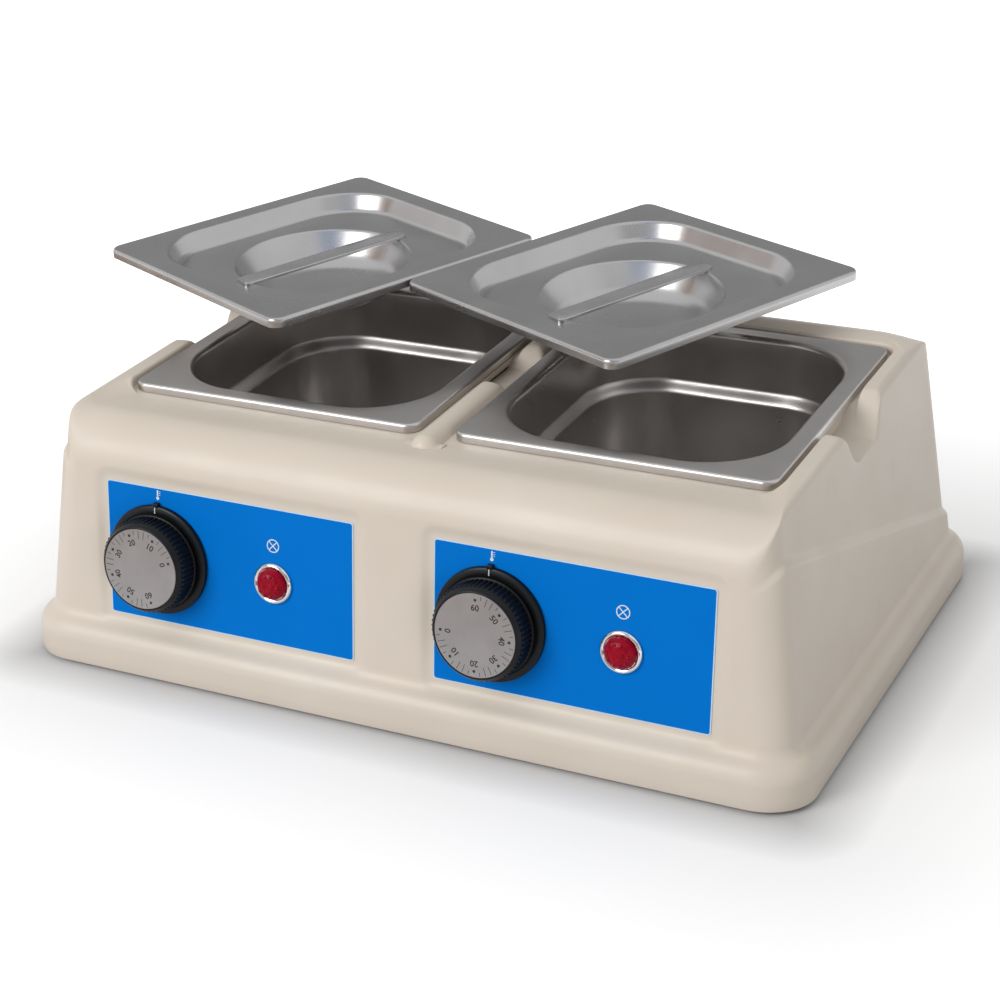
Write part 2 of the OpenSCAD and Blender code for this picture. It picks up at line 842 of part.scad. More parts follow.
module thermostat_shaft(side) {
    color("gainsboro")
        at_knob(side)
            translate([0, 0, panel_back - shaft_in])
                cylinder(h = shaft_in + wall + knob_front - 3.1, r = shaft_r);
}

module thermostat_shaft_left() { thermostat_shaft(-1); }
module thermostat_shaft_right() { thermostat_shaft(1); }

module thermostat_body(side) {
    back = panel_back - touch;
    color("lightgray")
        at_knob(side)
            difference() {
                union() {
                    translate([-stat_w / 2, -stat_h / 2, back - stat_d])
                        cube([stat_w, stat_h, stat_d]);
                    translate([0, 0, back])
                        cylinder(h = wall + label_t, r = bush_r);
                }
                translate([0, 0, back - shaft_in - 0.5])
                    cylinder(h = shaft_in + wall + 2, r = shaft_r + 0.05);
                for (s = [-1, 1])
                    translate([0, s * stat_screw, back - 9])
                        cylinder(h = 10, r = stat_screw_r);
            }
}

module thermostat_body_left() { thermostat_body(-1); }
module thermostat_body_right() { thermostat_body(1); }

module thermostat_screws() {
    color("silver")
        for (side = [-1, 1], s = [-1, 1])
            at_knob(side)
                translate([0, s * stat_screw, panel_front + touch])
                    rotate([180, 0, 0])
                        screw(stat_screw_r - touch, wall - recess_h + 7, stat_head_r, stat_head_h);
}

// ---- Lamps ----

barrel_in = 12;                  // length of a lamp's barrel behind the label

module lamp_ring(side) {
    color("whitesmoke")
        at_lamp(side)
            rotate_extrude()
                polygon([
                    [barrel_r - 1.2, label_front - barrel_in], [barrel_r, label_front - barrel_in],
                    [barrel_r, label_front], [lamp_ring_r, label_front],
                    [lamp_ring_r, label_front + 1.2], [lamp_ring_r - 0.8, label_front + 2.2],
                    [lens_r + 0.1, label_front + 2.2], [lens_r + 0.1, label_front + 1],
                    [barrel_r - 1.2, label_front + 1]
                ]);
}

module lamp_ring_left() { lamp_ring(-1); }
module lamp_ring_right() { lamp_ring(1); }

module lamp_lens(side) {
    foot = label_front + 1 + touch;
    color("crimson")
        at_lamp(side) {
            translate([0, 0, foot])
                cylinder(h = lens_h - 2, r = lens_r);
            translate([0, 0, foot + lens_h - 2])
                cylinder(h = 2, r1 = lens_r, r2 = lens_r - 2.4);
            translate([0, 0, foot - 6])
                cylinder(h = 6, r = barrel_r - 1.4);
        }
}

module lamp_lens_left() { lamp_lens(-1); }
module lamp_lens_right() { lamp_lens(1); }

module lamp_core(side) {
    front = label_front - 5.2;
    color("beige")
        at_lamp(side) {
            translate([0, 0, front - 20])
                cylinder(h = 20, r = barrel_r - 1.4);
            for (s = [-1, 1])
                translate([s * 3 - 0.4, -1.6, front - 28])
                    cube([0.8, 3.2, 8]);
        }
}

module lamp_core_left() { lamp_core(-1); }
module lamp_core_right() { lamp_core(1); }

module lamp_nuts() {
    color("silver")
        for (side = [-1, 1])
            at_lamp(side)
                translate([0, 0, panel_back - 3 - touch])
                    linear_extrude(3)
                        difference() {
                            circle(barrel_r + 3, $fn = 6);
                            circle(barrel_r + touch);
                        }
}

// ---- Heating ----

clip_x = bulb_l / 2 - 14;        // place of the bulb's two clips
bulb_z = -74;                    // bulb below the pans' flange plane

module well_liner(side) {
    x = well_half_x;
    y = well_half_y;
    h = -well_floor - seat_drop;
    color("lightsteelblue")
        at_pan(side) {
            difference() {
                union() {
                    translate([0, 0, well_floor - well_t])
                        linear_extrude(h + 2 * well_t)
                            rr(2 * (x + well_t), 2 * (y + well_t), well_corner + well_t);
                    translate([0, 0, touch - seat_drop])
                        linear_extrude(well_t)
                            rr(2 * (x + well_t + well_flange), 2 * (y + well_t + well_flange),
                                well_corner + well_t);
                    for (s = [-1, 1])
                        translate([s * clip_x - 4, -y - well_t - 2 * bulb_r - 1.5, bulb_z - bulb_r - 1.5])
                            cube([8, 2 * bulb_r + 2, 2 * bulb_r + 3]);
                }
                translate([0, 0, well_floor])
                    linear_extrude(h + 2 * well_t)
                        rr(2 * x, 2 * y, well_corner);
                translate([-bulb_l / 2, -y - well_t - bulb_r - touch, bulb_z])
                    rotate([0, 90, 0])
                        cylinder(h = bulb_l, r = bulb_r + 0.02);
            }
        }
}

module well_liner_left() { well_liner(-1); }
module well_liner_right() { well_liner(1); }

module heating_mat(side) {
    color("orangered")
        at_pan(side)
            translate([0, 0, well_floor - well_t - mat_t - touch])
                linear_extrude(mat_t)
                    rr(2 * (well_half_x - mat_margin), 2 * (well_half_y - mat_margin), 12);
}

module heating_mat_left() { heating_mat(-1); }
module heating_mat_right() { heating_mat(1); }

// Back of a thermostat, met along the pans' frame at the bulb's height
stat_back = wall + touch + stat_d + 0.2;
capillary_end = (
    stat_back
    - (pan_y - bulb_z * sin(deck_tilt) - front_at(label_z)) * cos(front_lean)
    + (deck_z + bulb_z * cos(deck_tilt) - label_z) * sin(front_lean)
) / cos(deck_tilt + front_lean);

// Copper bulb on the well's front wall, with its capillary to the thermostat
module sensing_bulb(side) {
    y = -well_half_y - well_t - bulb_r - touch;
    color("peru")
        at_pan(side) {
            translate([-bulb_l / 2, y, bulb_z])
                rotate([0, 90, 0])
                    cylinder(h = bulb_l, r = bulb_r);
            wire([[-bulb_l / 2, y, bulb_z], [-bulb_l / 2 - 6, y, bulb_z],
                [-bulb_l / 2 - 6, capillary_end, bulb_z]], 0.8);
        }
}

module sensing_bulb_left() { sensing_bulb(-1); }
module sensing_bulb_right() { sensing_bulb(1); }

block_y = 105;

module terminal_block() {
    color("ivory")
        difference() {
            translate([-17, block_y - 9, plate_top + touch])
                cube([34, 18, 16]);
            for (k = [-1:1]) {
                translate([k * 11, block_y + 10, plate_top + 7])
                    rotate([90, 0, 0])
                        cylinder(h = 20, r = 2);
                translate([k * 11, block_y, plate_top + 9])
                    cylinder(h = 9, r = 1.8);
            }
        }
}

// Point of the control panel's frame, counted from the front wall at the labels' height
function panel_point(x, y, z) = [
    x,
    front_at(label_z) + y * sin(front_lean) - z * cos(front_lean),
    label_z + y * cos(front_lean) + z * sin(front_lean)
];
function stat_foot(side) = panel_point(side * pan_x + label_shift - knob_x,
    -knob_drop - stat_h / 2 - 0.4, panel_back - stat_d / 2);

module wiring_loom() {
    r = 2.4;
    low = plate_top + r + touch;
    high = plate_top + 7;
    left = stat_foot(-1);
    right = stat_foot(1);
    color("#303030") {
        wire([left, [left[0], left[1], low], [right[0], right[1], low], right], r);
        wire([[0, block_y - 9 - touch, high], [0, block_y - 16, high],
            [0, block_y - 16, low], [0, left[1], low]], r - 0.2);
    }
}

// ---- Cable gland in the back wall ----

module at_gland() {
    translate([gland_x, back_y, gland_z])
        rotate([-90, 0, 0])
            children();
}

module cable_gland() {
    color("#282828")
        at_gland()
            difference() {
                union() {
                    translate([0, 0, -wall - 7])
                        cylinder(h = wall + 8, r = gland_r);
                    translate([0, 0, touch])
                        linear_extrude(5)
                            circle(gland_r + 3, $fn = 6);
                    translate([0, 0, 5])
                        cylinder(h = 6, r1 = gland_r + 1.4, r2 = gland_r - 1);
                }
                translate([0, 0, -wall - 8])
                    cylinder(h = wall + 20, r = cable_r);
            }
}

module gland_nut() {
    color("#282828")
        at_gland()
            translate([0, 0, -wall - 4 - touch])
                linear_extrude(4)
                    difference() {
                        circle(gland_r + 3.4, $fn = 6);
                        circle(gland_r + touch);
                    }
}

body_shell();
base_plate();
base_screws();
foot_front_left();
foot_front_right();
foot_back_left();
foot_back_right();
foot_screws();
pan_left();
pan_right();
lid_left();
lid_right();
lid_handle_left();
lid_handle_right();
control_label_left();
control_label_right();
dial_bezel_left();
dial_bezel_right();
thermostat_knob_left();
thermostat_knob_right();
dial_disc_left();
dial_disc_right();
thermostat_shaft_left();
thermostat_shaft_right();
thermostat_body_left();
thermostat_body_right();
thermostat_screws();
sensing_bulb_left();
sensing_bulb_right();
lamp_ring_left();
lamp_ring_right();
lamp_lens_left();
lamp_lens_right();
lamp_core_left();
lamp_core_right();
lamp_nuts();
well_liner_left();
well_liner_right();
heating_mat_left();
heating_mat_right();
terminal_block();
wiring_loom();
cable_gland();
gland_nut();
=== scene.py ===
from math import copysign, cos, hypot, pi, radians, sin, tan

import bmesh
import bpy
import numpy as np
from mathutils import Matrix, Vector


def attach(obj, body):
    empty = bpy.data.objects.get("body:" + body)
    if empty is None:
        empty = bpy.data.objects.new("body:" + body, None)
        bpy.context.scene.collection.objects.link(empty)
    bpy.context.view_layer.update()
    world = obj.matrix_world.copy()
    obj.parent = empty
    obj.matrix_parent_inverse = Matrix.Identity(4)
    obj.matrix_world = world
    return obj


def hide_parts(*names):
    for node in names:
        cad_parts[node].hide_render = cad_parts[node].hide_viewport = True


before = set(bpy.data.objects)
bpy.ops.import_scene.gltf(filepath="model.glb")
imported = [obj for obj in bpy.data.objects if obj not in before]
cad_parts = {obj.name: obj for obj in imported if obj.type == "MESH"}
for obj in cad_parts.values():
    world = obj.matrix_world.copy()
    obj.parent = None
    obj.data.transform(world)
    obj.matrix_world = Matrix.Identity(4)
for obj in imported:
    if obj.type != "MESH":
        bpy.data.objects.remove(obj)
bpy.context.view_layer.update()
mm = 0.001
print("stage: frame loaded")

# metres, radians and lens millimetres
shot = {
    "place": (0.46457, -0.94734, 0.52807), "yaw": 0.461, "pitch": 0.416, "roll": -0.029,
    "lens": 80.03, "sensor": 36,
}


def linked(name, data):
    obj = bpy.data.objects.new(name, data)
    bpy.context.collection.objects.link(obj)
    return obj


def makeCamera(s):
    cy, sy, cp, sp = cos(s["yaw"]), sin(s["yaw"]), cos(s["pitch"]), sin(s["pitch"])
    ahead = Vector((-sy * cp, cy * cp, -sp))
    right = Vector((cy, sy, 0))
    up = right.cross(ahead)
    c, r = cos(s["roll"]), sin(s["roll"])
    across, above = c * right + r * up, c * up - r * right
    cam = linked("shotCamera", bpy.data.cameras.new("shotCamera"))
    turn = Matrix((across, above, -ahead)).transposed().to_4x4()
    cam.matrix_world = Matrix.Translation(s["place"]) @ turn
    cam.data.lens, cam.data.sensor_width = s["lens"], s["sensor"]
    bpy.context.scene.camera = cam


makeCamera(shot)
bpy.context.scene.view_settings.view_transform = "Standard"

# millimetres and degrees from here on
deck = {"z": 134.6, "tilt": 1.7, "panX": 90.8, "panY": 6.19077, "panW": 162, "panD": 176, "seat": 4.6}
wallRun = {
    "side": 0.12, "front": 5.7, "ledgeZ": 29.5885, "half": 184.8, "frontY": -126.509, "backY": 134.591,
}
label = {
    "w": 139, "h": 70, "z": 65, "shift": 2.5, "thick": 0.5, "corner": 1.8, "edge": 0.55, "bevel": 0.08,
    "margin": 4.5, "recess": 1.2, "recessCorner": 6.2, "recessReach": -6,
}
spots = {"knob": (-39.8, -1.9), "lamp": (25.5, -3)}
lidPlace = {-1: (-143.3, 59.7), 1: (38.2096, 67.095)}
lidPose = {"lift": 30.0974, "lean": 0.6, "turn": -24.5}


def moved(x, y, z):
    return Matrix.Translation(Vector((x, y, z)))


def turned(degrees, axis):
    return Matrix.Rotation(radians(degrees), 4, axis)


def sideAt(z):
    return wallRun["half"] + wallRun["side"] * (deck["z"] - max(z, wallRun["ledgeZ"]))


def frontAt(z):
    return wallRun["frontY"] - tan(radians(wallRun["front"])) * (deck["z"] - max(z, wallRun["ledgeZ"]))


deckFrame = moved(0, deck["panY"], deck["z"]) @ turned(deck["tilt"], "X")
panelFrame = moved(0, frontAt(label["z"]), label["z"]) @ turned(90 - wallRun["front"], "X")


def panFrame(side):
    return deckFrame @ moved(side * deck["panX"], 0, 0)


def lidFrame(side):
    x, y = lidPlace[side]
    return deckFrame @ moved(x, y, lidPose["lift"]) @ turned(lidPose["lean"], "X") @ turned(lidPose["turn"], "Z")


def labelFrame(side):
    return panelFrame @ moved(side * deck["panX"] + label["shift"], 0, 0)


def spotFrame(side, name):
    return labelFrame(side) @ moved(*spots[name], 0)


sideName = {-1: "Left", 1: "Right"}
nodeSide = {-1: "_left", 1: "_right"}
quarters = ((1, 1), (-1, 1), (-1, -1), (1, -1))


def smooth(t):
    t = np.clip(t, 0.0, 1.0)
    return t * t * (3 - 2 * t)


def mix(a, b, t):
    return a + (b - a) * t


def arcSteps(n, start=0.0, end=90.0):
    return [radians(start + (end - start) * k / n) for k in range(n + 1)]


def meshFrom(name, points, faces, matrix=None):
    p = np.array(points, float).reshape(-1, 3)
    if matrix is not None:
        m = np.array(matrix)
        p = p @ m[:3, :3].T + m[:3, 3]
    mesh = bpy.data.meshes.new(name)
    mesh.from_pydata((p * mm).tolist(), [], [list(map(int, f)) for f in faces])
    return mesh


def faceOut(mesh):
    bm = bmesh.new()
    bm.from_mesh(mesh)
    bmesh.ops.recalc_face_normals(bm, faces=bm.faces)
    bm.to_mesh(mesh)
    bm.free()


def addPiece(name, mesh, *materials, angle=32):
    obj = linked(name, mesh)
    for m in materials:
        mesh.materials.append(m)
    if angle:
        mesh.polygons.foreach_set("use_smooth", [True] * len(mesh.polygons))
        mesh.set_sharp_from_angle(angle=radians(angle))
    return obj


def settle(obj, body, finish, *nodes):
    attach(obj, body)
    if nodes:
        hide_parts(*nodes)
    return obj


def ringFaces(n, m, start=0, caps=True):
    faces = [
        (start + k * n + i, start + k * n + (i + 1) % n, start + (k + 1) * n + (i + 1) % n, start + (k + 1) * n + i)
        for k in range(m - 1)
        for i in range(n)
    ]
    if caps:
        faces.append([start + i for i in range(n - 1, -1, -1)])
        faces.append([start + (m - 1) * n + i for i in range(n)])
    return faces


def roundRing(halfX, halfY, r, z, n=18):
    ring = []
    for q, (sx, sy) in enumerate(quarters):
        for k in range(n + 1):
            a = radians(90 * q + 90 * k / n)
            ring.append((sx * (halfX - r) + r * cos(a), sy * (halfY - r) + r * sin(a), z))
    return ring


def skinOf(name, rings, matrix=None):
    mesh = meshFrom(name, [p for r in rings for p in r], ringFaces(len(rings[0]), len(rings)), matrix)
    faceOut(mesh)
    return mesh


def plateOf(name, halfX, halfY, r, z0, z1, edge, matrix=None, n=8):
    steps = ((0, z0), (0, z1 - edge), (0.3 * edge, z1 - 0.3 * edge), (edge, z1))
    rings = [roundRing(halfX - s, halfY - s, r - s, z, n) for s, z in steps]
    return skinOf(name, rings, matrix)


def lathe(name, profile, n, matrix=None, closed=False):
    points, rings, faces = [], [], []
    for r, z in profile:
        if r < 1e-6:
            rings.append([len(points)] * n)
            points.append((0, 0, z))
        else:
            rings.append(list(range(len(points), len(points) + n)))
            points += [(r * cos(2 * pi * i / n), r * sin(2 * pi * i / n), z) for i in range(n)]
    pairs = list(zip(rings, rings[1:] + rings[:1]))
    for a, b in pairs if closed else pairs[:-1]:
        for i in range(n):
            j = (i + 1) % n
            face = [a[i], a[j], b[j], b[i]]
            face = [v for k, v in enumerate(face) if v != face[k - 1]]
            if len(face) > 2:
                faces.append(face)
    mesh = meshFrom(name, points, faces, matrix)
    faceOut(mesh)
    return mesh


def boxOf(name, low, high, matrix=None):
    p = [(x, y, z) for z in (low[2], high[2]) for y in (low[1], high[1]) for x in (low[0], high[0])]
    f = [(0, 2, 3, 1), (4, 5, 7, 6), (0, 1, 5, 4), (2, 6, 7, 3), (0, 4, 6, 2), (1, 3, 7, 5)]
    return meshFrom(name, p, f, matrix)


def joined(name, meshes):
    bm = bmesh.new()
    for m in meshes:
        bm.from_mesh(m)
    out = bpy.data.meshes.new(name)
    bm.to_mesh(out)
    bm.free()
    for m in meshes:
        bpy.data.meshes.remove(m)
    return out


def shifted(mesh, matrix):
    m = Matrix(matrix)
    m.translation = m.translation * mm
    mesh.transform(m)
    return mesh


def finalMesh(obj):
    graph = bpy.context.evaluated_depsgraph_get()
    return bpy.data.meshes.new_from_object(obj.evaluated_get(graph))


def dropObjects(*objects):
    for obj in objects:
        data = obj.data
        bpy.data.objects.remove(obj)
        bpy.data.meshes.remove(data)


def carve(mesh, cutter):
    a, b = linked("carved", mesh), linked("cutter", cutter)
    cut = a.modifiers.new("cut", "BOOLEAN")
    cut.operation, cut.solver, cut.object = "DIFFERENCE", "EXACT", b
    out = finalMesh(a)
    dropObjects(a, b)
    return out


def fill(node, wires):
    for key, value in wires.items():
        if isinstance(value, bpy.types.NodeSocket):
            node.id_data.links.new(value, node.inputs[key])
        else:
            node.inputs[key].default_value = value


def addNode(tree, kind, wires=None, **values):
    # gives the new node's outputs
    node = tree.nodes.new(kind)
    for key, value in values.items():
        setattr(node, key, value)
    fill(node, wires or {})
    return node.outputs


def mathNode(tree, operation, *values):
    return addNode(tree, "ShaderNodeMath", dict(enumerate(values)), operation=operation)[0]


def ringOf(name, shape, count, radius, first, step, material):
    # count copies of a small mesh around a circle, as real geometry
    tree = bpy.data.node_groups.new(name + "Nodes", "GeometryNodeTree")
    part = linked(name + "Shape", shape)
    carrier = linked(name + "Carrier", bpy.data.meshes.new(name + "Carrier"))
    settings = {
        "Shape": ("Object", part), "Count": ("Int", count), "Radius": ("Float", radius * mm),
        "First": ("Float", radians(first)), "Step": ("Float", radians(step)),
        "Finish": ("Material", material),
    }
    sockets = {}
    for key, (kind, _) in settings.items():
        sockets[key] = tree.interface.new_socket(key, in_out="INPUT", socket_type="NodeSocket" + kind)
    tree.interface.new_socket("Geometry", in_out="OUTPUT", socket_type="NodeSocketGeometry")
    given = addNode(tree, "NodeGroupInput")
    index = addNode(tree, "GeometryNodeInputIndex")[0]
    angle = mathNode(tree, "MULTIPLY_ADD", index, given["Step"], given["First"])
    x, y = (mathNode(tree, "MULTIPLY", mathNode(tree, op, angle), given["Radius"]) for op in ("COSINE", "SINE"))
    place = addNode(tree, "ShaderNodeCombineXYZ", {0: x, 1: y})[0]
    spin = addNode(tree, "ShaderNodeCombineXYZ", {2: angle})[0]
    points = addNode(tree, "GeometryNodePoints", {"Count": given["Count"], "Position": place})[0]
    source = addNode(tree, "GeometryNodeObjectInfo", {"Object": given["Shape"]})["Geometry"]
    wires = {"Points": points, "Instance": source, "Rotation": spin}
    copies = addNode(tree, "GeometryNodeInstanceOnPoints", wires)[0]
    real = addNode(tree, "GeometryNodeRealizeInstances", {0: copies})[0]
    paint = addNode(tree, "GeometryNodeSetMaterial", {"Geometry": real, "Material": given["Finish"]})
    addNode(tree, "NodeGroupOutput", {0: paint[0]})

    modifier = carrier.modifiers.new("copies", "NODES")
    modifier.node_group = tree
    for key, (_, value) in settings.items():
        modifier[sockets[key].identifier] = value
    out = finalMesh(carrier)
    dropObjects(part, carrier)
    return out


def flatMap(mesh, matrix):
    # a flat map in the piece's own plane, 100 mm to one unit
    back = Matrix(matrix).inverted()
    layer = mesh.uv_layers.new(name="flat")
    for loop in mesh.loops:
        p = back @ (mesh.vertices[loop.vertex_index].co / mm)
        layer.data[loop.index].uv = (p.x / 100, p.y / 100)


def newMaterial(name):
    mat = bpy.data.materials.new(name)
    mat.use_nodes = True
    return mat, mat.node_tree, mat.node_tree.nodes["Principled BSDF"]


def noiseOf(tree, base, scale, detail, rough=0.55, stretch=(1, 1, 1), turn=0):
    wires = {"Vector": base, "Scale": stretch, "Rotation": (0, 0, radians(turn))}
    fit = addNode(tree, "ShaderNodeMapping", wires)[0]
    wires = {"Vector": fit, "Scale": scale, "Detail": detail, "Roughness": rough}
    return addNode(tree, "ShaderNodeTexNoise", wires)[0]


def ranged(tree, value, low, high, a=0.0, b=1.0):
    wires = {"Value": value, "From Min": a, "From Max": b, "To Min": low, "To Max": high}
    return addNode(tree, "ShaderNodeMapRange", wires)[0]


def blended(tree, factor, first, second):
    wires = {0: factor, 6: (*first, 1), 7: (*second, 1)}
    return addNode(tree, "ShaderNodeMix", wires, data_type="RGBA")[2]


def bumped(tree, height, strength, distance):
    return addNode(tree, "ShaderNodeBump", {"Height": height, "Strength": strength, "Distance": distance})[0]


# what a look has where it doesn't say
usual = {
    "cloud": 22, "vary": 0.06, "smear": 35, "grain": 1400, "grainShare": 1, "turn": 0,
    "streakLift": 1, "scuffStretch": (1, 9, 2), "scuffTurn": 28, "scuffRough": 0.18,
    "bump": 0.2, "bumpHeight": 0.00004, "metal": 0, "coat": 0, "coatRough": 0.08, "specular": 0.5,
}
middle = (0.3, 0.7)  # the part of a noise that is spread over its colours
worn = (0.66, 0.74)  # the part of a noise that shows as a scuff


def surface(name, look):
    # tone and shade: the two colours that the cloud noise mixes; streaks: fine stretched marks
    look = {**usual, **look}
    mat, tree, shader = newMaterial(name)
    base = addNode(tree, "ShaderNodeTexCoord")["Object"]
    cloud = ranged(tree, noiseOf(tree, base, look["cloud"], 3.0), 0, 1, *middle)
    rough, vary = look["rough"], look["vary"]
    smear = noiseOf(tree, base, look["smear"], 5.0, 0.6)
    level = ranged(tree, smear, rough - vary, rough + vary, *middle)
    height = ranged(tree, noiseOf(tree, base, look["grain"], 2.0), 0, look["grainShare"])
    if "streak" in look:
        marks = noiseOf(tree, base, look["streak"], 3.0, 0.6, look["stretch"], look["turn"])
        level = mathNode(tree, "MULTIPLY_ADD", marks, look["streakRough"], level)
        height = mathNode(tree, "MULTIPLY_ADD", marks, look["streakLift"], height)
    if "scuff" in look:
        lines = noiseOf(tree, base, look["scuff"], 2.0, 0.5, look["scuffStretch"], look["scuffTurn"])
        level = mathNode(tree, "ADD", level, ranged(tree, lines, 0, look["scuffRough"], *worn))
    fill(shader, {
        "Base Color": blended(tree, cloud, look["tone"], look["shade"]), "Roughness": level,
        "Normal": bumped(tree, height, look["bump"], look["bumpHeight"]), "Metallic": look["metal"],
        "Coat Weight": look["coat"], "Coat Roughness": look["coatRough"], "Specular IOR Level": look["specular"],
    })
    return mat, tree, shader


brushed = {"metal": 1, "vary": 0.04, "grain": 24, "streak": 60, "streakRough": 0.05, "streakLift": 0, "bump": 1}
looks = {
    "castCream": {
        "tone": (0.635, 0.565, 0.485), "shade": (0.605, 0.535, 0.455), "rough": 0.42, "cloud": 14, "grain": 900,
        "bump": 0.16, "bumpHeight": 0.00006, "scuff": 30, "scuffRough": 0.12, "coat": 0.07, "coatRough": 0.2,
        "specular": 0.36,
    },
    # satinSteel's slight warm cast is partly the steel's own tone and partly a painted reflection of the cream
    # casing
    "satinSteel": {
        **brushed, "tone": (0.53, 0.51, 0.494), "shade": (0.49, 0.471, 0.457), "rough": 0.29, "cloud": 30,
        "stretch": (1, 22, 22),
    },
    "lidSteel": {
        **brushed, "tone": (0.45, 0.445, 0.445), "shade": (0.41, 0.406, 0.406), "rough": 0.27, "cloud": 26,
        "stretch": (1, 24, 24), "turn": 24.5,
    },
    "strapSteel": {
        **brushed, "tone": (0.56, 0.56, 0.56), "shade": (0.5, 0.5, 0.5), "rough": 0.22, "cloud": 60,
        "streak": 90, "stretch": (22, 1, 22), "turn": 24.5, "streakRough": 0.04, "grain": 60,
        "bumpHeight": 0.00003,
    },
    "knobBlack": {
        "tone": (0.005, 0.006, 0.008), "shade": (0.004, 0.005, 0.006), "rough": 0.36, "vary": 0.07, "cloud": 90,
        "grain": 2600, "bump": 0.25, "scuff": 160, "specular": 0.22,
    },
    "dialInk": {
        "tone": (0.012, 0.012, 0.013), "shade": (0.02, 0.02, 0.02), "rough": 0.55, "vary": 0.05, "cloud": 300,
        "grain": 4000, "bump": 0.1,
    },
    "filmBlue": {
        "tone": (0.0, 0.162, 0.58), "shade": (0.0, 0.152, 0.55), "rough": 0.46, "cloud": 16, "grain": 3200,
        "bump": 0.1, "bumpHeight": 0.00002, "scuff": 55, "scuffRough": 0.1, "specular": 0.04,
    },
    "filmPale": {
        "tone": (0.55, 0.68, 0.8), "shade": (0.5, 0.62, 0.75), "rough": 0.5, "vary": 0.05, "cloud": 200,
        "grain": 3200, "bump": 0.1,
    },
    "markWhite": {
        "tone": (0.72, 0.75, 0.76), "shade": (0.64, 0.67, 0.68), "rough": 0.55, "vary": 0.05, "cloud": 300,
        "grain": 3000, "bump": 0.1,
    },
    "chrome": {
        "tone": (0.7, 0.7, 0.71), "shade": (0.64, 0.64, 0.65), "metal": 1, "rough": 0.12, "vary": 0.03,
        "cloud": 120, "grain": 60, "bump": 0.5, "bumpHeight": 0.00005,
    },
    "rubberBlack": {
        "tone": (0.02, 0.02, 0.02), "shade": (0.032, 0.031, 0.03), "rough": 0.75, "vary": 0.1, "cloud": 90,
        "grain": 1600, "bump": 0.5, "bumpHeight": 0.00008,
    },
    "zincScrew": {
        "tone": (0.52, 0.52, 0.53), "shade": (0.4, 0.41, 0.44), "metal": 1, "rough": 0.35, "vary": 0.1,
        "cloud": 240, "grain": 2400,
    },
    "copperTube": {
        "tone": (0.72, 0.32, 0.18), "shade": (0.5, 0.2, 0.1), "metal": 1, "rough": 0.32, "vary": 0.08,
        "cloud": 90, "bump": 0.15,
    },
    "ivoryBlock": {
        "tone": (0.72, 0.69, 0.6), "shade": (0.66, 0.62, 0.53), "rough": 0.5, "vary": 0.08, "cloud": 120,
    },
    "wellAluminium": {
        "tone": (0.6, 0.6, 0.61), "shade": (0.5, 0.5, 0.51), "metal": 1, "rough": 0.36, "vary": 0.08,
        "cloud": 40, "streak": 70, "stretch": (1, 14, 14), "streakRough": 0.12, "bump": 0.15,
        "bumpHeight": 0.00003,
    },
    "matOrange": {
        "tone": (0.58, 0.12, 0.03), "shade": (0.48, 0.09, 0.02), "rough": 0.62, "vary": 0.08, "cloud": 50,
        "grain": 1200, "bump": 0.4, "bumpHeight": 0.00008,
    },
    "nylonBlack": {
        "tone": (0.022, 0.022, 0.023), "shade": (0.014, 0.014, 0.015), "rough": 0.5, "vary": 0.08, "cloud": 140,
        "grain": 2200, "bump": 0.3,
    },
    "shaftZinc": {
        "tone": (0.55, 0.55, 0.56), "shade": (0.45, 0.46, 0.48), "metal": 1, "rough": 0.3, "vary": 0.08,
        "cloud": 150, "bump": 0.1,
    },
}
finish = {name: surface(name, look)[0] for name, look in looks.items()}

zinc = {
    "tone": (0.56, 0.57, 0.58), "shade": (0.48, 0.49, 0.51), "metal": 1, "rough": 0.4, "vary": 0.1, "bump": 0.12,
    "cell": 160, "dark": (0.46, 0.47, 0.49), "light": (0.62, 0.63, 0.64),
}


def galvanised(name, look):
    mat, tree, shader = surface(name, look)
    base = addNode(tree, "ShaderNodeTexCoord")["Object"]
    flakes = addNode(tree, "ShaderNodeTexVoronoi", {"Vector": base, "Scale": look["cell"]})
    tone = addNode(tree, "ShaderNodeSeparateColor", {"Color": flakes["Color"]})[0]
    fill(shader, {"Base Color": blended(tree, tone, look["dark"], look["light"])})
    return mat


spun = {
    "tone": (0.355, 0.345, 0.35), "shade": (0.32, 0.31, 0.315), "metal": 1, "rough": 0.42, "vary": 0.04,
    "cloud": 90, "bump": 0.1, "rings": 900, "ringRough": 0.07, "ringBump": 0.12, "ringHeight": 0.00002,
}


def spunMetal(name, look):
    # fine turning marks round the middle of the flat map
    mat, tree, shader = surface(name, look)
    flat = addNode(tree, "ShaderNodeTexCoord")["UV"]
    far = addNode(tree, "ShaderNodeVectorMath", {0: flat}, operation="LENGTH")["Value"]
    wires = {"W": far, "Scale": look["rings"], "Detail": 3.0}
    wave = addNode(tree, "ShaderNodeTexNoise", wires, noise_dimensions="1D")[0]
    level = ranged(tree, wave, look["rough"] - look["ringRough"], look["rough"] + look["ringRough"], *middle)
    fill(shader, {"Roughness": level, "Normal": bumped(tree, wave, look["ringBump"], look["ringHeight"])})
    return mat


lensRed = {
    "tone": (0.32, 0, 0.016), "shade": (0.2, 0, 0.008), "rough": 0.24, "vary": 0.05, "cloud": 260,
    "bump": 0.05, "coat": 0.02, "coatRough": 0.1, "specular": 0.12, "glow": (0.5, 0, 0.015), "glowLevel": 0.04,
}


def clearRed(name, look):
    mat, _, shader = surface(name, look)
    fill(shader, {"Emission Color": (*look["glow"], 1), "Emission Strength": look["glowLevel"]})
    return mat


finish["baseZinc"] = galvanised("baseZinc", zinc)
finish["dialMetal"] = spunMetal("dialMetal", spun)
finish["lensRed"] = clearRed("lensRed", lensRed)
print("stage: materials made")

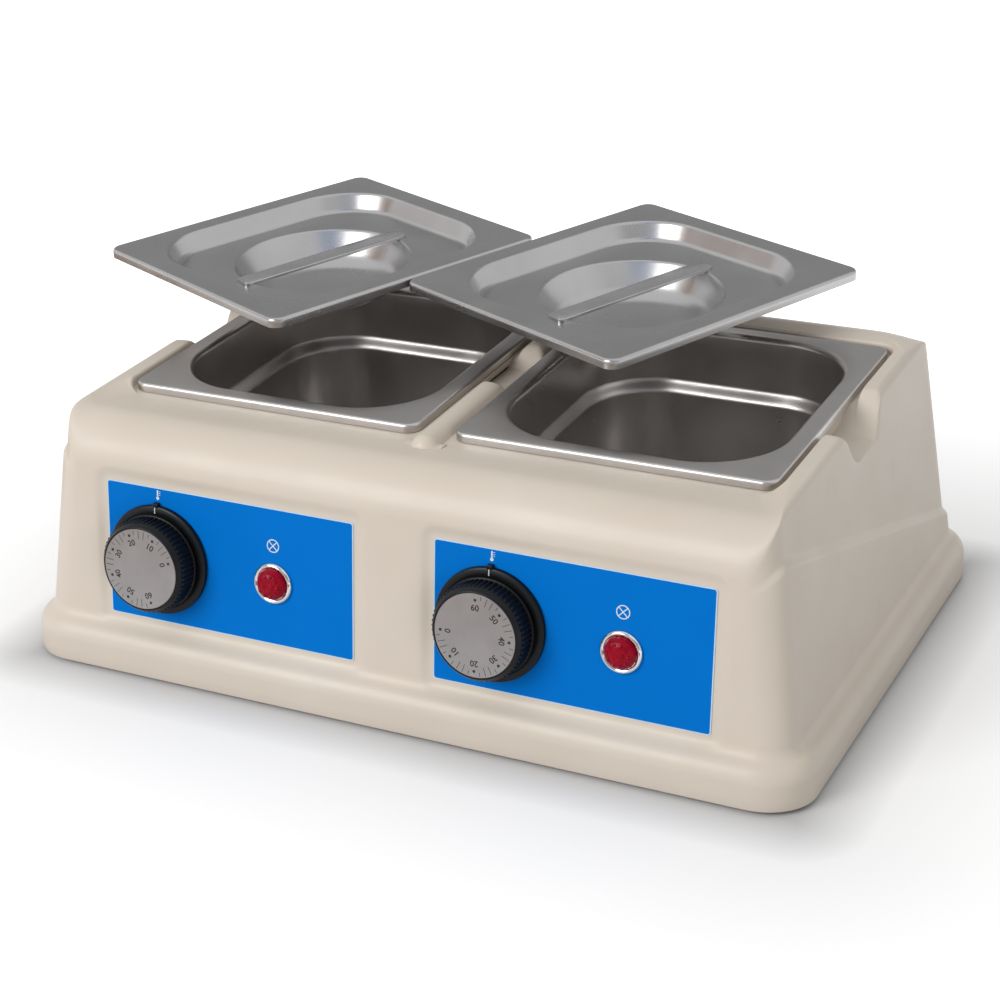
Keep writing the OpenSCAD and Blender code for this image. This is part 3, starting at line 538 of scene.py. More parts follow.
# the moulded casing
shell = {
    "thick": 3.2, "corner": 15, "topCorner": 8, "backCorner": 26, "sideTop": 3.5, "frontTop": 22,
    "backTop": 29, "stepOut": 2.4, "stepFront": 110, "stepBack": 34.5, "stepHalf": 2.4, "stepDip": 10,
    "foot": 2, "skirt": 12, "skirtR": 10.5, "skirtTurn": 60, "fillet": 7.5, "ledge": 9,
    "shoulder": 23.0933, "apronZ": 128.312, "rise": 0.5, "play": 2.6, "rim": 7, "pocket": 174.4,
    "arc": 16, "cornerGap": 0.8, "soft": 2.9,
}
notch = {
    "inner": 168.3, "depth": 14, "fall": 16, "low": 17, "slope": 1.75, "soft": 4, "reach": 40,
    "outerFrom": 168.28, "innerFrom": 165.1, "skinGap": 0.1,
}
relax = {"rounds": 20, "step": 0.5, "x": (170, 2.5), "y": (27, 7), "z": (-34, 8)}  # each place: from, run


def deckAt(y):
    return deck["z"] + tan(radians(deck["tilt"])) * (y - deck["panY"])


def sideShare(a):
    return cos(a) ** 2


def proudAt(sy, a):
    return shell["stepOut"] * (sideShare(a) if sy < 0 else 1)


def cornerAt(sy, z):
    # the back corners widen towards the deck
    low = (deck["z"] - max(z, wallRun["ledgeZ"])) / (deck["z"] - wallRun["ledgeZ"])
    return shell["corner"] if sy < 0 else mix(shell["backCorner"], shell["corner"], low)


def wallPoint(sx, sy, a, z, out, inX=0.0, inY=0.0, r=None):
    r = cornerAt(sy, z) if r is None else r
    cy = wallRun["backY"] - inY - r if sy > 0 else frontAt(z) + inY + r
    return (sx * (sideAt(z) - inX - r) + (r + out) * cos(a), cy + (r + out) * sin(a), z)


def planY(sy, a, z):
    r = cornerAt(sy, z)
    return (wallRun["backY"] - r if sy > 0 else frontAt(z) + r) + r * sin(a)


def stepZ(sy, a):
    y0 = frontAt(shell["stepFront"]) + shell["corner"]
    t = (planY(sy, a, label["z"]) - y0) / (wallRun["backY"] - y0)
    z = mix(shell["stepFront"], shell["stepBack"], max(0, min(1, t)))
    return mix(shell["stepFront"] - shell["stepDip"], z, sideShare(a)) if sy < 0 else z


def endR(sy):
    return shell["backTop"] if sy > 0 else shell["frontTop"]


def edgeR(sy, a):
    return mix(endR(sy), shell["sideTop"], sideShare(a))


def topZ(sy, a):
    z = deckAt(planY(sy, a, deck["z"])) + shell["rise"]
    return mix(shell["apronZ"], z, sideShare(a)) if sy < 0 else z


def flatRow(z, off):
    return lambda sx, sy, a: wallPoint(sx, sy, a, z, off + proudAt(sy, a))


def lowRow(t):
    def row(sx, sy, a):
        z = mix(wallRun["ledgeZ"], stepZ(sy, a) - shell["stepHalf"], t)
        return wallPoint(sx, sy, a, z, proudAt(sy, a))

    return row


def stepRow(u):
    def row(sx, sy, a):
        z = stepZ(sy, a) + u * shell["stepHalf"]
        return wallPoint(sx, sy, a, z, proudAt(sy, a) * float(smooth(0.5 - 0.5 * u)))

    return row


def highRow(t):
    def row(sx, sy, a):
        z = mix(stepZ(sy, a) + shell["stepHalf"], topZ(sy, a) - edgeR(sy, a), t)
        return wallPoint(sx, sy, a, z, 0)

    return row


def topRow(phi):
    t = 1 - cos(phi)

    def row(sx, sy, a):
        z = topZ(sy, a) - edgeR(sy, a) * (1 - sin(phi))
        r = shell["backCorner"] if sy > 0 else mix(shell["corner"], shell["topCorner"], t)
        return wallPoint(sx, sy, a, z, 0, shell["sideTop"] * t, endR(sy) * t, r)

    return row


def pocketRow(grow, rise, drop=0.0):
    def row(sx, sy, a):
        r = shell["rim"] + shell["play"] + grow
        y = sy * (deck["panD"] / 2 + shell["play"] + grow - r) + r * sin(a) + deck["panY"]
        h = sideShare(a) if sy < 0 else 1
        z = deckAt(y) - deck["seat"] + rise * h * (deck["seat"] + shell["rise"]) - drop
        return (sx * (shell["pocket"] + grow - r) + r * cos(a), y, z)

    return row


def innerRow(z):
    return lambda sx, sy, a: wallPoint(sx, sy, a, z, -shell["thick"])


def innerTopRow(phi):
    t, w = 1 - cos(phi), shell["thick"]

    def row(sx, sy, a):
        z = deckAt(planY(sy, a, deck["z"])) - deck["seat"] - w - (edgeR(sy, a) - w / 2) * (1 - sin(phi))
        r = shell["backCorner"] - w if sy > 0 else mix(shell["corner"] - w, shell["topCorner"], t)
        return wallPoint(sx, sy, a, z, 0, w + shell["sideTop"] * t, w + (endR(sy) - w) * t, r)

    return row


def spread(*runs):
    # values from run to run at the given pitch
    out = []
    for a, b, pitch in runs:
        n = max(1, round(abs(b - a) / pitch))
        out += [mix(a, b, k / n) for k in range(n)]
    return out + [runs[-1][1]]


def edgeColumns():
    # closer columns at the notches and at the ends of the labels
    fine, wide = 31, 46
    low, high = deck["panY"] - wide, deck["panY"] + wide
    up = [("at", deck["panY"] + v) for v in spread((-wide, -fine, 3), (-fine, fine, 1), (fine, wide, 3))]
    shares = [k / 8 for k in range(1, 8)]
    sideUp = [("from", low, t) for t in shares] + up + [("to", high, t) for t in shares]
    sideDown = [("from", high, t) for t in shares] + up[::-1] + [("to", low, t) for t in shares]
    runs = ((-168, -157, 1), (-157, -20, 9), (-20, -9, 1), (-9, 14, 4), (14, 25, 1), (25, 161, 9), (161, 172, 1))
    front = [("at", v) for v in spread(*runs)]
    return [[("at", v) for v in spread((148, -148, 12))], sideDown, front, sideUp]


def squeezed(v, room, free=140.0, full=172.0):
    # keeps the outer columns of a straight run inside its corners
    far = abs(v)
    return v if room > full or far < free else copysign(mix(free, room, (far - free) / (full - free)), v)


def gridOf(rows, edges):
    grid = []
    for row in rows:
        line = []
        for q in range(4):
            sx, sy = quarters[q]
            line += [row(sx, sy, radians(90 * (q + k / shell["arc"]))) for k in range(shell["arc"] + 1)]
            turn = radians(90 * (q + 1))
            p0, p1 = np.array(line[-1]), np.array(row(*quarters[(q + 1) % 4], turn))
            c = q % 2
            room = min(abs(p0[c]), abs(p1[c])) - shell["cornerGap"]
            for kind, at, *share in edges[q]:
                if kind == "at":
                    v = squeezed(at, room)
                else:
                    v = mix(p0[c], at, *share) if kind == "from" else mix(at, p1[c], *share)
                line.append(tuple(mix(p0, p1, (v - p0[c]) / (p1[c] - p0[c]))))
        grid.append(line)
    return np.array(grid)


def toFrame(matrix, grid):
    m = np.array(matrix.inverted())
    return grid @ m[:3, :3].T + m[:3, 3]


def rising(s, slope, k):
    # nought, then a slope, with a soft turn of half width k between
    return np.where(s < -k, 0.0, np.where(s > k, slope * s, slope * (s + k) ** 2 / (4 * k)))


def notchFloor(d, grow):
    x, y = np.abs(d[..., 0]), np.abs(d[..., 1])
    fall = (x - notch["inner"]) * tan(radians(notch["fall"]))
    return -notch["depth"] - grow - fall + rising(y - notch["low"] - grow, notch["slope"], notch["soft"])


def cutNotches(grid, inner, grow=0.0):
    d = toFrame(deckFrame, grid)
    near = (np.abs(d[..., 0]) > inner) & (np.abs(d[..., 1]) < notch["reach"])
    drop = np.where(near, np.minimum(0, notchFloor(d, grow) - d[..., 2]), 0)
    return grid + drop[..., None] * np.array(deckFrame)[:3, 2]


def pastRun(values, key):
    start, run = relax[key]
    return smooth((values - start) / run)


def relaxNotches(grid):
    # evens out the skin round the notches
    d = toFrame(deckFrame, grid)
    share = (1 - pastRun(np.abs(d[..., 1]), "y")) * pastRun(np.abs(d[..., 0]), "x") * pastRun(d[..., 2], "z")
    share[0], share[-1] = 0, 0
    for _ in range(relax["rounds"]):
        near = (np.roll(grid, 1, 0) + np.roll(grid, -1, 0) + np.roll(grid, 1, 1) + np.roll(grid, -1, 1)) / 4
        grid = grid + relax["step"] * share[..., None] * (near - grid)
    return grid


def pressLabels(grid):
    for side in (-1, 1):
        m = labelFrame(side)
        d = toFrame(m, grid)
        halfX, halfY, r = label["w"] / 2 + label["margin"], label["h"] / 2 + label["margin"], label["recessCorner"]
        qx, qy = np.abs(d[..., 0]) - halfX + r, np.abs(d[..., 1]) - halfY + r
        far = np.hypot(np.maximum(qx, 0), np.maximum(qy, 0)) + np.minimum(np.maximum(qx, qy), 0) - r
        deep = label["recess"] * smooth(0.5 - far / (2 * shell["soft"])) * (d[..., 2] > label["recessReach"])
        grid = grid - deep[..., None] * np.array(m)[:3, 2]
    return grid


def gridMesh(name, grid):
    m, n = grid.shape[:2]
    mesh = meshFrom(name, grid.reshape(-1, 3), ringFaces(n, m))
    faceOut(mesh)
    return mesh


def outerRows():
    foot, ledge, turn, fillet = shell["foot"], shell["ledge"], radians(shell["skirtTurn"]), shell["fillet"]
    skirtTop, lip = foot + shell["skirt"], 1.6
    rows = [flatRow(foot + up, ledge - inset) for up, inset in ((0, 0.7), (0.2, 0.2), (0.7, 0), (6, 0))]
    for b in arcSteps(10, 0, shell["skirtTurn"]):
        rows.append(flatRow(skirtTop + shell["skirtR"] * sin(b), ledge - shell["skirtR"] * (1 - cos(b))))
    for b in arcSteps(9, 54, 0):
        up = fillet * (sin(turn) - sin(b))
        rows.append(flatRow(shell["shoulder"] + up, fillet * (1 - cos(b))))
    rows += [lowRow(k / 12) for k in range(1, 12)]
    rows += [stepRow(u) for u in (-1, -0.8, -0.6, -0.4, -0.2, 0, 0.2, 0.4, 0.6, 0.8, 1)]
    rows += [highRow(t) for t in [0.15, 0.3, 0.42, 0.52, 0.6] + [0.64 + 0.02 * k for k in range(18)]]
    rows += [topRow(radians(p)) for p in (*range(0, 15, 2), 17, 20, 25, *range(30, 91, 6))]
    rows += [pocketRow(lip + 1.2 * (1 - sin(b)), 1) for b in arcSteps(1, 0, 45)]
    rows += [pocketRow(lip * (1 - sin(b)), 1 - 0.31 * (1 - cos(b))) for b in arcSteps(6)]
    rows += [pocketRow(0, r) for r in (0.5, 0.3, 0.12, 0)]
    return rows + [pocketRow(g, 0) for g in (-0.6, -1.8, -3.2, -4.6, -5.6, -6.05, -6.2, -7.2, -8.4)]


def innerRows():
    thick, low = shell["thick"], shell["ledge"] - shell["thick"]
    rows = [flatRow(shell["foot"] - 1, low), flatRow(shell["foot"] + shell["skirt"], low)]
    rows.append(flatRow(shell["shoulder"] - thick, 0.45 * shell["ledge"] - thick))
    rows += [innerRow(z) for z in (wallRun["ledgeZ"], 62, 92)]
    rows += [innerTopRow(p) for p in arcSteps(4)]
    return rows + [pocketRow(g, 0, thick) for g in (-3, -5, -7, -9.25, -9.42)]


ridge = {
    "r": 7.2, "edge": 9.8, "columns": 31, "pitch": 1.2, "from": -102.8, "to": 104.5, "front": -96, "back": 96.6,
    "apron": -95.5, "apronRun": 4, "sunk": 0.1, "sinking": 0.15, "deckFrom": 91.6, "deckSunk": 0.05,
    "blend": 1.6, "blendInset": 0.4, "low": -12.6,
}
scoop = {"z": -9, "half": 17, "slope": 1.15, "soft": 4, "blend": 2.6, "reach": 32}


def ridgeStrip():
    # the round-backed ridge between the pans with its finger scoop, as one height field
    r, edge = ridge["r"], ridge["edge"]
    xs, ys = np.linspace(-edge, edge, ridge["columns"]), spread((ridge["from"], ridge["to"], ridge["pitch"]))
    x, y = np.meshgrid(xs, np.array(ys))
    beyond = np.maximum(0, np.maximum(ridge["front"] - y, y - ridge["back"]))
    crest = 1.0 - r + np.sqrt(np.maximum(0, r * r - x * x - beyond ** 2))
    apron = shell["apronZ"] - deck["z"] - y * tan(radians(deck["tilt"]))
    ground = mix(apron, -deck["seat"], smooth((y - ridge["apron"]) / ridge["apronRun"]))
    ground = ground - ridge["sunk"] - ridge["sinking"] * np.maximum(0, ridge["apron"] - y)
    ground = np.where(y > ridge["deckFrom"], shell["rise"] - ridge["deckSunk"], ground)
    k = ridge["blend"]
    meet = np.maximum(k - np.abs(crest - ground), 0) ** 2 / (4 * k)
    top = np.maximum(crest, ground) + meet * (np.abs(x) < edge - ridge["blendInset"])
    dip = scoop["z"] + rising(np.abs(y) - scoop["half"], scoop["slope"], scoop["soft"])
    k = scoop["blend"]
    cut = np.minimum(top, dip) - np.maximum(k - np.abs(top - dip), 0) ** 2 / (4 * k)
    top = np.where(np.abs(y) < scoop["reach"], np.where(top - dip < -k, top, cut), top)
    m, n = x.shape
    up = np.stack([x, y, top], -1).reshape(-1, 3)
    down = np.stack([x, y, np.full_like(x, ridge["low"])], -1).reshape(-1, 3)
    faces = []
    for k in range(m - 1):
        for i in range(n - 1):
            a = k * n + i
            faces += [(a, a + 1, a + n + 1, a + n), (m * n + a, m * n + a + n, m * n + a + n + 1, m * n + a + 1)]
    rim = list(range(n)) + [k * n + n - 1 for k in range(1, m)]
    rim += [(m - 1) * n + i for i in range(n - 2, -1, -1)] + [k * n for k in range(m - 2, 0, -1)]
    faces += [(a, m * n + a, m * n + b, b) for a, b in zip(rim, rim[1:] + rim[:1])]
    mesh = meshFrom("ridgeStrip", np.concatenate([up, down]), faces, deckFrame)
    faceOut(mesh)
    return mesh


holes = {
    "well": (73.5, 80.5, 43.5), "bush": 5.3, "screw": 2.2, "screwOff": 14, "lamp": 7.7, "scoop": (9.5, 27.5),
    "gland": 7.8, "glandX": 120, "glandZ": 52,
}


def plug(name, r, n, matrix, low=-6, high=3):
    return lathe(name, [(0, low), (r, low), (r, high), (0, high)], n, matrix)


def hiddenCuts():
    cuts = []
    for side in (-1, 1):
        cuts.append(skinOf("wellCut", [roundRing(*holes["well"], z, 10) for z in (-20, 5)], panFrame(side)))
        at = spotFrame(side, "knob")
        cuts.append(plug("bushCut", holes["bush"], 24, at))
        cuts += [plug("screwCut", holes["screw"], 16, at @ moved(0, s * holes["screwOff"], 0)) for s in (-1, 1)]
        cuts.append(plug("lampCut", holes["lamp"], 32, spotFrame(side, "lamp")))
    x, y = holes["scoop"]
    cuts.append(boxOf("scoopCut", (-x, -y, -14), (x, y, 1.5), deckFrame))
    at = moved(holes["glandX"], wallRun["backY"], holes["glandZ"]) @ turned(-90, "X")
    cuts.append(plug("glandCut", holes["gland"], 32, at, -7, 5))
    return joined("hiddenCuts", cuts)


post = {"x": 185.601, "y": 123.791, "r": 5, "low": 5.2, "top": 59.6, "holeR": 2, "holeTop": 19.2}


def makeCasing():
    edges = edgeColumns()
    outer = relaxNotches(cutNotches(gridOf(outerRows(), edges), notch["outerFrom"]))
    inner = cutNotches(gridOf(innerRows(), edges), notch["innerFrom"], shell["thick"] + notch["skinGap"])
    mesh = carve(gridMesh("outerSkin", pressLabels(outer)), gridMesh("innerSkin", inner))
    mesh = carve(mesh, hiddenCuts())
    p = post
    run = [(0, p["holeTop"]), (p["holeR"], p["holeTop"]), (p["holeR"], p["low"]), (p["r"], p["low"])]
    run += [(p["r"], p["top"]), (0, p["top"])]
    posts = [lathe("post", run, 24, moved(sx * p["x"], sy * p["y"], 0)) for sx in (-1, 1) for sy in (-1, 1)]
    mesh = joined("casingShell", [mesh, ridgeStrip(), *posts])
    obj = addPiece("casingShell", mesh, finish["castCream"], angle=34)
    return settle(obj, "casing", "casing_plastic", "body_shell")


casingPiece = makeCasing()
print("stage: casing made,", len(casingPiece.data.vertices), "points")

# the drawn pans and pressed lids
pan = {
    "sheet": 0.8, "rimH": 4.3, "rimR": 1.6, "rimLow": 3, "rimCorner": 7, "flange": 11, "lip": 3,
    "corner": 51, "stepTop": -28.5, "stepLow": -36.5, "stepIn": 3.5, "wallTop": 15, "wallLow": 17,
    "floorR": 15, "deep": 100,
}
lid = {
    "w": 161, "d": 175, "rimH": 5, "rimR": 1.8, "rimLow": 3.2, "corner": 51, "lipAt": 11.5, "lipR": 2.6,
    "lean": 63, "recess": 10, "recessAt": 20.63, "recessR": 4, "bowl": 28, "bowlR": 50, "bowlLip": 2.2,
    "bowlLean": 58, "bowlFloor": 29.8, "bowlFoot": 14, "strapW": 12, "strapL": 109, "strapT": 1.6,
    "weldY": 50.5,
}


def rolledRim(p):
    # inset, height and plan radius from the rim's lower edge over its roll
    r = p["rimR"]
    run = [(0, -p["rimH"]), (0, -p["rimLow"])]
    run += [(r - r * cos(a), -r + r * sin(a)) for a in arcSteps(6)]
    return [(s, z, pan["rimCorner"] - s) for s, z in run]


def panSection():
    p = pan
    lipAt, floorTop = p["flange"] - p["lip"], p["floorR"] - p["deep"]
    inner = [(lipAt + p["lip"] * sin(a), -p["lip"] * (1 - cos(a))) for a in arcSteps(7)]
    inner += [(p["flange"] + 0.2, -8.0)]
    for t in np.linspace(0, 1, 13):
        inner.append((p["flange"] + 0.5 + p["stepIn"] * float(smooth(t)), mix(p["stepTop"], p["stepLow"], t)))
    inner += [(mix(p["wallTop"], p["wallLow"], t), mix(p["stepLow"], floorTop, t)) for t in (0.3, 0.65)]
    for b in arcSteps(9):
        inner.append((p["wallLow"] + p["floorR"] * (1 - cos(b)), p["floorR"] * (1 - sin(b)) - p["deep"]))
    return rolledRim(p) + [(s, z, p["corner"] - s) for s, z in inner]


def flatRings(section, w, d):
    return [(w / 2 - s, d / 2 - s, r, z) for s, z, r in section]


def sheetSkin(name, upper, matrix):
    # a bent sheet from its upper side's rings: half width, half depth, plan radius, height
    t, lower = pan["sheet"], []
    for k, u in enumerate(upper):
        a, b = upper[max(k - 1, 0)], upper[min(k + 1, len(upper) - 1)]
        dx, dz = a[0] - b[0], b[3] - a[3]
        far = hypot(dx, dz)
        dx, dz = dx / far, dz / far
        lower.append((u[0] - t * dz, u[1] - t * dz, u[2] - t * dz, u[3] - t * dx))
    return skinOf(name, [roundRing(x, y, max(r, 0.2), z, 20) for x, y, r, z in lower[::-1] + upper], matrix)


def lidSection():
    lip, foot, lean = lid["lipR"], lid["recessR"], lid["lean"]
    inner = [(lid["lipAt"] + lip * sin(a), -lip * (1 - cos(a))) for a in arcSteps(6, 0, lean)]
    for a in arcSteps(6, lean, 0):
        inner.append((lid["recessAt"] - foot * sin(a), -lid["recess"] + foot * (1 - cos(a))))
    return rolledRim(lid) + [(s, z, lid["corner"] - s) for s, z in inner]


def bowlSection():
    lip, foot, lean = lid["bowlLip"], lid["bowlFoot"], lid["bowlLean"]
    out = []
    for a in arcSteps(5, 0, lean):
        out.append((lid["bowlR"] - lip * sin(a), -lid["recess"] - lip * (1 - cos(a))))
    for a in arcSteps(10, lean, 0):
        out.append((lid["bowlFloor"] + foot * sin(a), -lid["bowl"] + foot * (1 - cos(a))))
    return out


def strapOf(side):
    m = lidFrame(side)
    z0 = -lid["recess"] + 0.05
    z1 = z0 + lid["strapT"]
    parts = [plateOf("strap", lid["strapW"] / 2, lid["strapL"] / 2, 3, z0, z1, 0.45, m)]
    weld = [(0, 0.16), (0.9, 0.13), (1.35, 0.0), (1.35, -0.3), (0, -0.3)]
    parts += [lathe("weld", weld, 16, m @ moved(0, s * lid["weldY"], z1)) for s in (-1, 1)]
    return joined("strapHandle" + sideName[side], parts)


def putOn(name, mesh, look, body, slot, *nodes, angle=32):
    return settle(addPiece(name, mesh, finish[look], angle=angle), body, slot, *nodes)


for side in (-1, 1):
    name, node = sideName[side], nodeSide[side]
    mesh = sheetSkin("pan" + name, flatRings(panSection(), deck["panW"], deck["panD"]), panFrame(side))
    putOn("pan" + name, mesh, "satinSteel", "pan" + node, "pan_steel", "pan" + node)
    rings = flatRings(lidSection(), lid["w"], lid["d"]) + [(r + 0.2, r + 0.2, r, z) for r, z in bowlSection()]
    mesh = sheetSkin("lid" + name, rings, lidFrame(side))
    putOn("lid" + name, mesh, "lidSteel", "lid" + node, "pan_steel", "lid" + node)
    putOn("strapHandle" + name, strapOf(side), "strapSteel", "lid" + node, "handle_steel", "lid_handle" + node)
print("stage: pans and lids made")

# labels, knobs and pilot lamps
knob = {"r": 24, "back": 3.3, "front": 16.3, "ribs": 60, "ribR": 22.7, "dialR": 20.45}
bezel = {"r": 28, "front": 2.3, "back": -0.7, "hole": 5.4, "step": 18.4}
dial = {
    "zero": {-1: 19, 1: 180}, "numbers": 7, "turn": 45, "dotR": 17.4, "dot": 0.75, "mark": 0.04,
    "tickR": 19.7, "tickHalf": 0.13, "numberR": 13.5, "numberH": 3.05, "fontScale": 1.38, "numberT": 0.02,
    "bolder": 0.08,
}
lamp = {"ringR": 10.5, "ringH": 2.2, "hole": 6.3, "barrel": 7.5, "barrelL": 12, "lensR": 7.95, "stemR": 6.1}
signs = {"thermometerY": 29.6, "lampY": 16, "proud": 0.05}
filmBack, filmFront = -label["recess"], -label["recess"] + label["thick"]


def labelPlate(side):
    # the film: blue face inside a fine pale edge
    x, y, r, bevel = label["w"] / 2, label["h"] / 2, label["corner"], label["bevel"]
    steps = ((0, filmBack), (0, filmFront - bevel), (bevel, filmFront), (label["edge"], filmFront))
    rings = [roundRing(x - s, y - s, r - s, z, 8) for s, z in steps]
    mesh = skinOf("controlLabel" + sideName[side], rings, labelFrame(side))
    obj = addPiece(mesh.name, mesh, finish["filmPale"], finish["filmBlue"])
    sizes = [(len(p.vertices), -p.center.y) for p in mesh.polygons]
    mesh.polygons[sizes.index(max(sizes))].material_index = 1
    return obj


def bezelRing(side):
    m = spotFrame(side, "knob")
    r, f, b, hole, step = bezel["r"], bezel["front"], bezel["back"], bezel["hole"], bezel["step"]
    ring = [(hole, b + 2), (step, b + 2), (step, b), (r - 0.3, b), (r, b + 0.3), (r, f - 1.1)]
    face = ((0.15, 0.75), (0.5, 0.45), (1.0, 0.3), (1.9, 0.1), (2.9, 0), (3.3, 0.05), (3.6, 0.5))
    ring += [(r - inset, f - down) for inset, down in face] + [(hole, f - 0.5)]
    nib = plateOf("nib", 1.5, 1.3, 0.4, b + 0.4, f - 0.35, 0.3, m @ moved(0, r + 0.2, 0), 4)
    return joined("dialBezel" + sideName[side], [lathe("bezel", ring, 128, m, closed=True), nib])


def knobBody(side):
    m, name = spotFrame(side, "knob"), sideName[side]
    b, f, r, root, hole = knob["back"], knob["front"], knob["r"], knob["ribR"], knob["dialR"] + 0.05
    flare = ((0.4, 0), (0.1, 0.15), (0, 0.4), (0, 0.9), (0.15, 1.15), (0.5, 1.3))
    crown = ((0, 2.2), (0.1, 1.9), (0.4, 1.6), (1.2, 0.4), (1.45, 0.12))
    body = [(0, b)] + [(r - inset, b + up) for inset, up in flare] + [(root, b + 1.4)]
    body += [(root - inset, f - down) for inset, down in crown]
    body += [(hole + 0.45, f), (hole + 0.1, f), (hole, f - 0.1), (hole, f - 0.85), (0, f - 0.85)]
    low = b + 1.2
    high = f - 2.3 - low
    section = ((-1.0, 0.95), (-0.05, 0.8), (0.6, 0.38), (0.8, 0.0), (0.6, -0.38), (-0.05, -0.8), (-1.0, -0.95))
    heights = ((0.0, 0.5), (0.4, 0.0), (high - 0.8, 0.0), (high, 0.7))
    shape = skinOf("rib", [[(0.1 - thin + dx, dy, z) for dx, dy in section] for z, thin in heights])
    ribs = ringOf("knurl" + name, shape, knob["ribs"], root, 0, 360 / knob["ribs"], finish["knobBlack"])
    shifted(ribs, m @ moved(0, 0, low))
    ribs.materials.clear()
    return joined("thermostatKnob" + name, [lathe("knob", body, 120, m), ribs])


def wordMesh(text, matrix):
    curve = bpy.data.curves.new("number", "FONT")
    curve.body, curve.size = text, dial["numberH"] * dial["fontScale"] * mm
    curve.align_x, curve.align_y = "CENTER", "CENTER"
    curve.extrude, curve.offset, curve.resolution_u = dial["numberT"] * mm, dial["bolder"] * mm, 3
    holder = linked("number", curve)
    mesh = finalMesh(holder)
    bpy.data.objects.remove(holder)
    bpy.data.curves.remove(curve)
    return shifted(mesh, matrix)


def dialMarks(side):
    f, up, dot, half = knob["front"], dial["mark"], dial["dot"], dial["tickHalf"]
    m, name, ink = spotFrame(side, "knob") @ turned(dial["zero"][side], "Z"), sideName[side], finish["dialInk"]
    count, turn = dial["numbers"], dial["turn"]
    ticks = []
    for k, low in ((1, 17.7), (2, 15.6), (3, 15.6), (4, 17.7)):
        ticks.append(boxOf("tick", (low, -half, 0), (dial["tickR"], half, up), turned(turn / 5 * k, "Z")))
    marks = ringOf("ticks" + name, joined("tickSet", ticks), count - 1, 0.0, 0, turn, ink)
    spot = lathe("dot", [(0, up), (dot, up), (dot, 0), (0, 0)], 20)
    dots = ringOf("dots" + name, spot, count, dial["dotR"], 0, turn, ink)
    parts = [shifted(mesh, m @ moved(0, 0, f)) for mesh in (marks, dots)]
    for k in range(count):
        place = turned(turn * k, "Z") @ moved(dial["numberR"], 0, f + up / 2) @ turned(-90, "Z")
        parts.append(wordMesh(str(10 * k), m @ place))
    for mesh in parts:
        mesh.materials.clear()
    return joined("dialMarks" + name, parts)


def lampBezel(side):
    r, lens, hole, barrel = lamp["ringR"], lamp["lensR"] + 0.15, lamp["hole"], lamp["barrel"]
    b, f = filmFront, filmFront + lamp["ringH"]
    ring = [(hole, b - lamp["barrelL"]), (barrel, b - lamp["barrelL"]), (barrel, b), (r, b), (r, b + 0.7)]
    ring += [(r - 0.15, b + 1.15), (r - 0.5, b + 1.6), (r - 0.95, f - 0.12), (r - 1.35, f), (r - 1.75, f - 0.1)]
    ring += [(lens, f - 0.5), (lens, b + 1), (hole, b + 1)]
    return lathe("lampRing" + sideName[side], ring, 96, spotFrame(side, "lamp"), closed=True)


def lampLens(side):
    m, name = spotFrame(side, "lamp"), sideName[side]
    b, r, stem, twist = filmFront + 1.05, lamp["lensR"], lamp["stemR"], 11.25
    runs = [(stem, -6.0, 0), (stem, 0.0, 0), (r, 0.0, 0), (r, 1.0, 0), (r - 0.55, 2.3, 0), (r - 2.0, 4.0, twist)]
    runs += [(r - 3.6, 4.9, 0), (r - 5.6, 5.35, twist), (1.1, 5.0, 0)]
    rings = []
    for rad, z, turn in runs:
        angles = [radians(2 * twist * k + turn) for k in range(16)]
        rings.append([(rad * cos(a), rad * sin(a), b + z) for a in angles])
    mesh = skinOf("lampLens" + name, rings, m)
    stud = lathe("stud", [(0, 0.55), (0.7, 0.2), (0.95, -0.2), (0, -0.2)], 6)
    studs = ringOf("studs" + name, stud, 10, 5.0, 0, 36, finish["lensRed"])
    shifted(studs, m @ moved(0, 0, b + 4.85))
    studs.materials.clear()
    return joined("lampLens" + name, [mesh, studs])


def pictograms(side):
    # plain signs for the two controls: a thermometer and a lamp
    m, up = labelFrame(side) @ moved(0, 0, filmFront), signs["proud"]
    tx, ty = spots["knob"][0], signs["thermometerY"]
    lx, ly = spots["lamp"][0], signs["lampY"]
    parts = [lathe("bulb", [(0, up), (0.85, up), (0.85, 0), (0, 0)], 24, m @ moved(tx, ty, 0))]
    parts.append(plateOf("stem", 0.38, 1.9, 0.36, 0, up, 0.01, m @ moved(tx, ty + 2.2, 0), 4))
    for k in range(3):
        parts.append(boxOf("step", (0.75, -0.12, 0), (1.6, 0.12, up), m @ moved(tx, ty + 1.7 + 0.9 * k, 0)))
    ring = [(2.9, 0), (3.4, 0), (3.4, up), (2.9, up)]
    parts.append(lathe("lampSign", ring, 40, m @ moved(lx, ly, 0), closed=True))
    for turn, top in ((45, up * 1.1), (-45, up)):
        at = m @ moved(lx, ly, 0) @ turned(turn, "Z")
        parts.append(boxOf("cross", (-2.95, -0.24, 0), (2.95, 0.24, top), at))
    return joined("labelSigns" + sideName[side], parts)


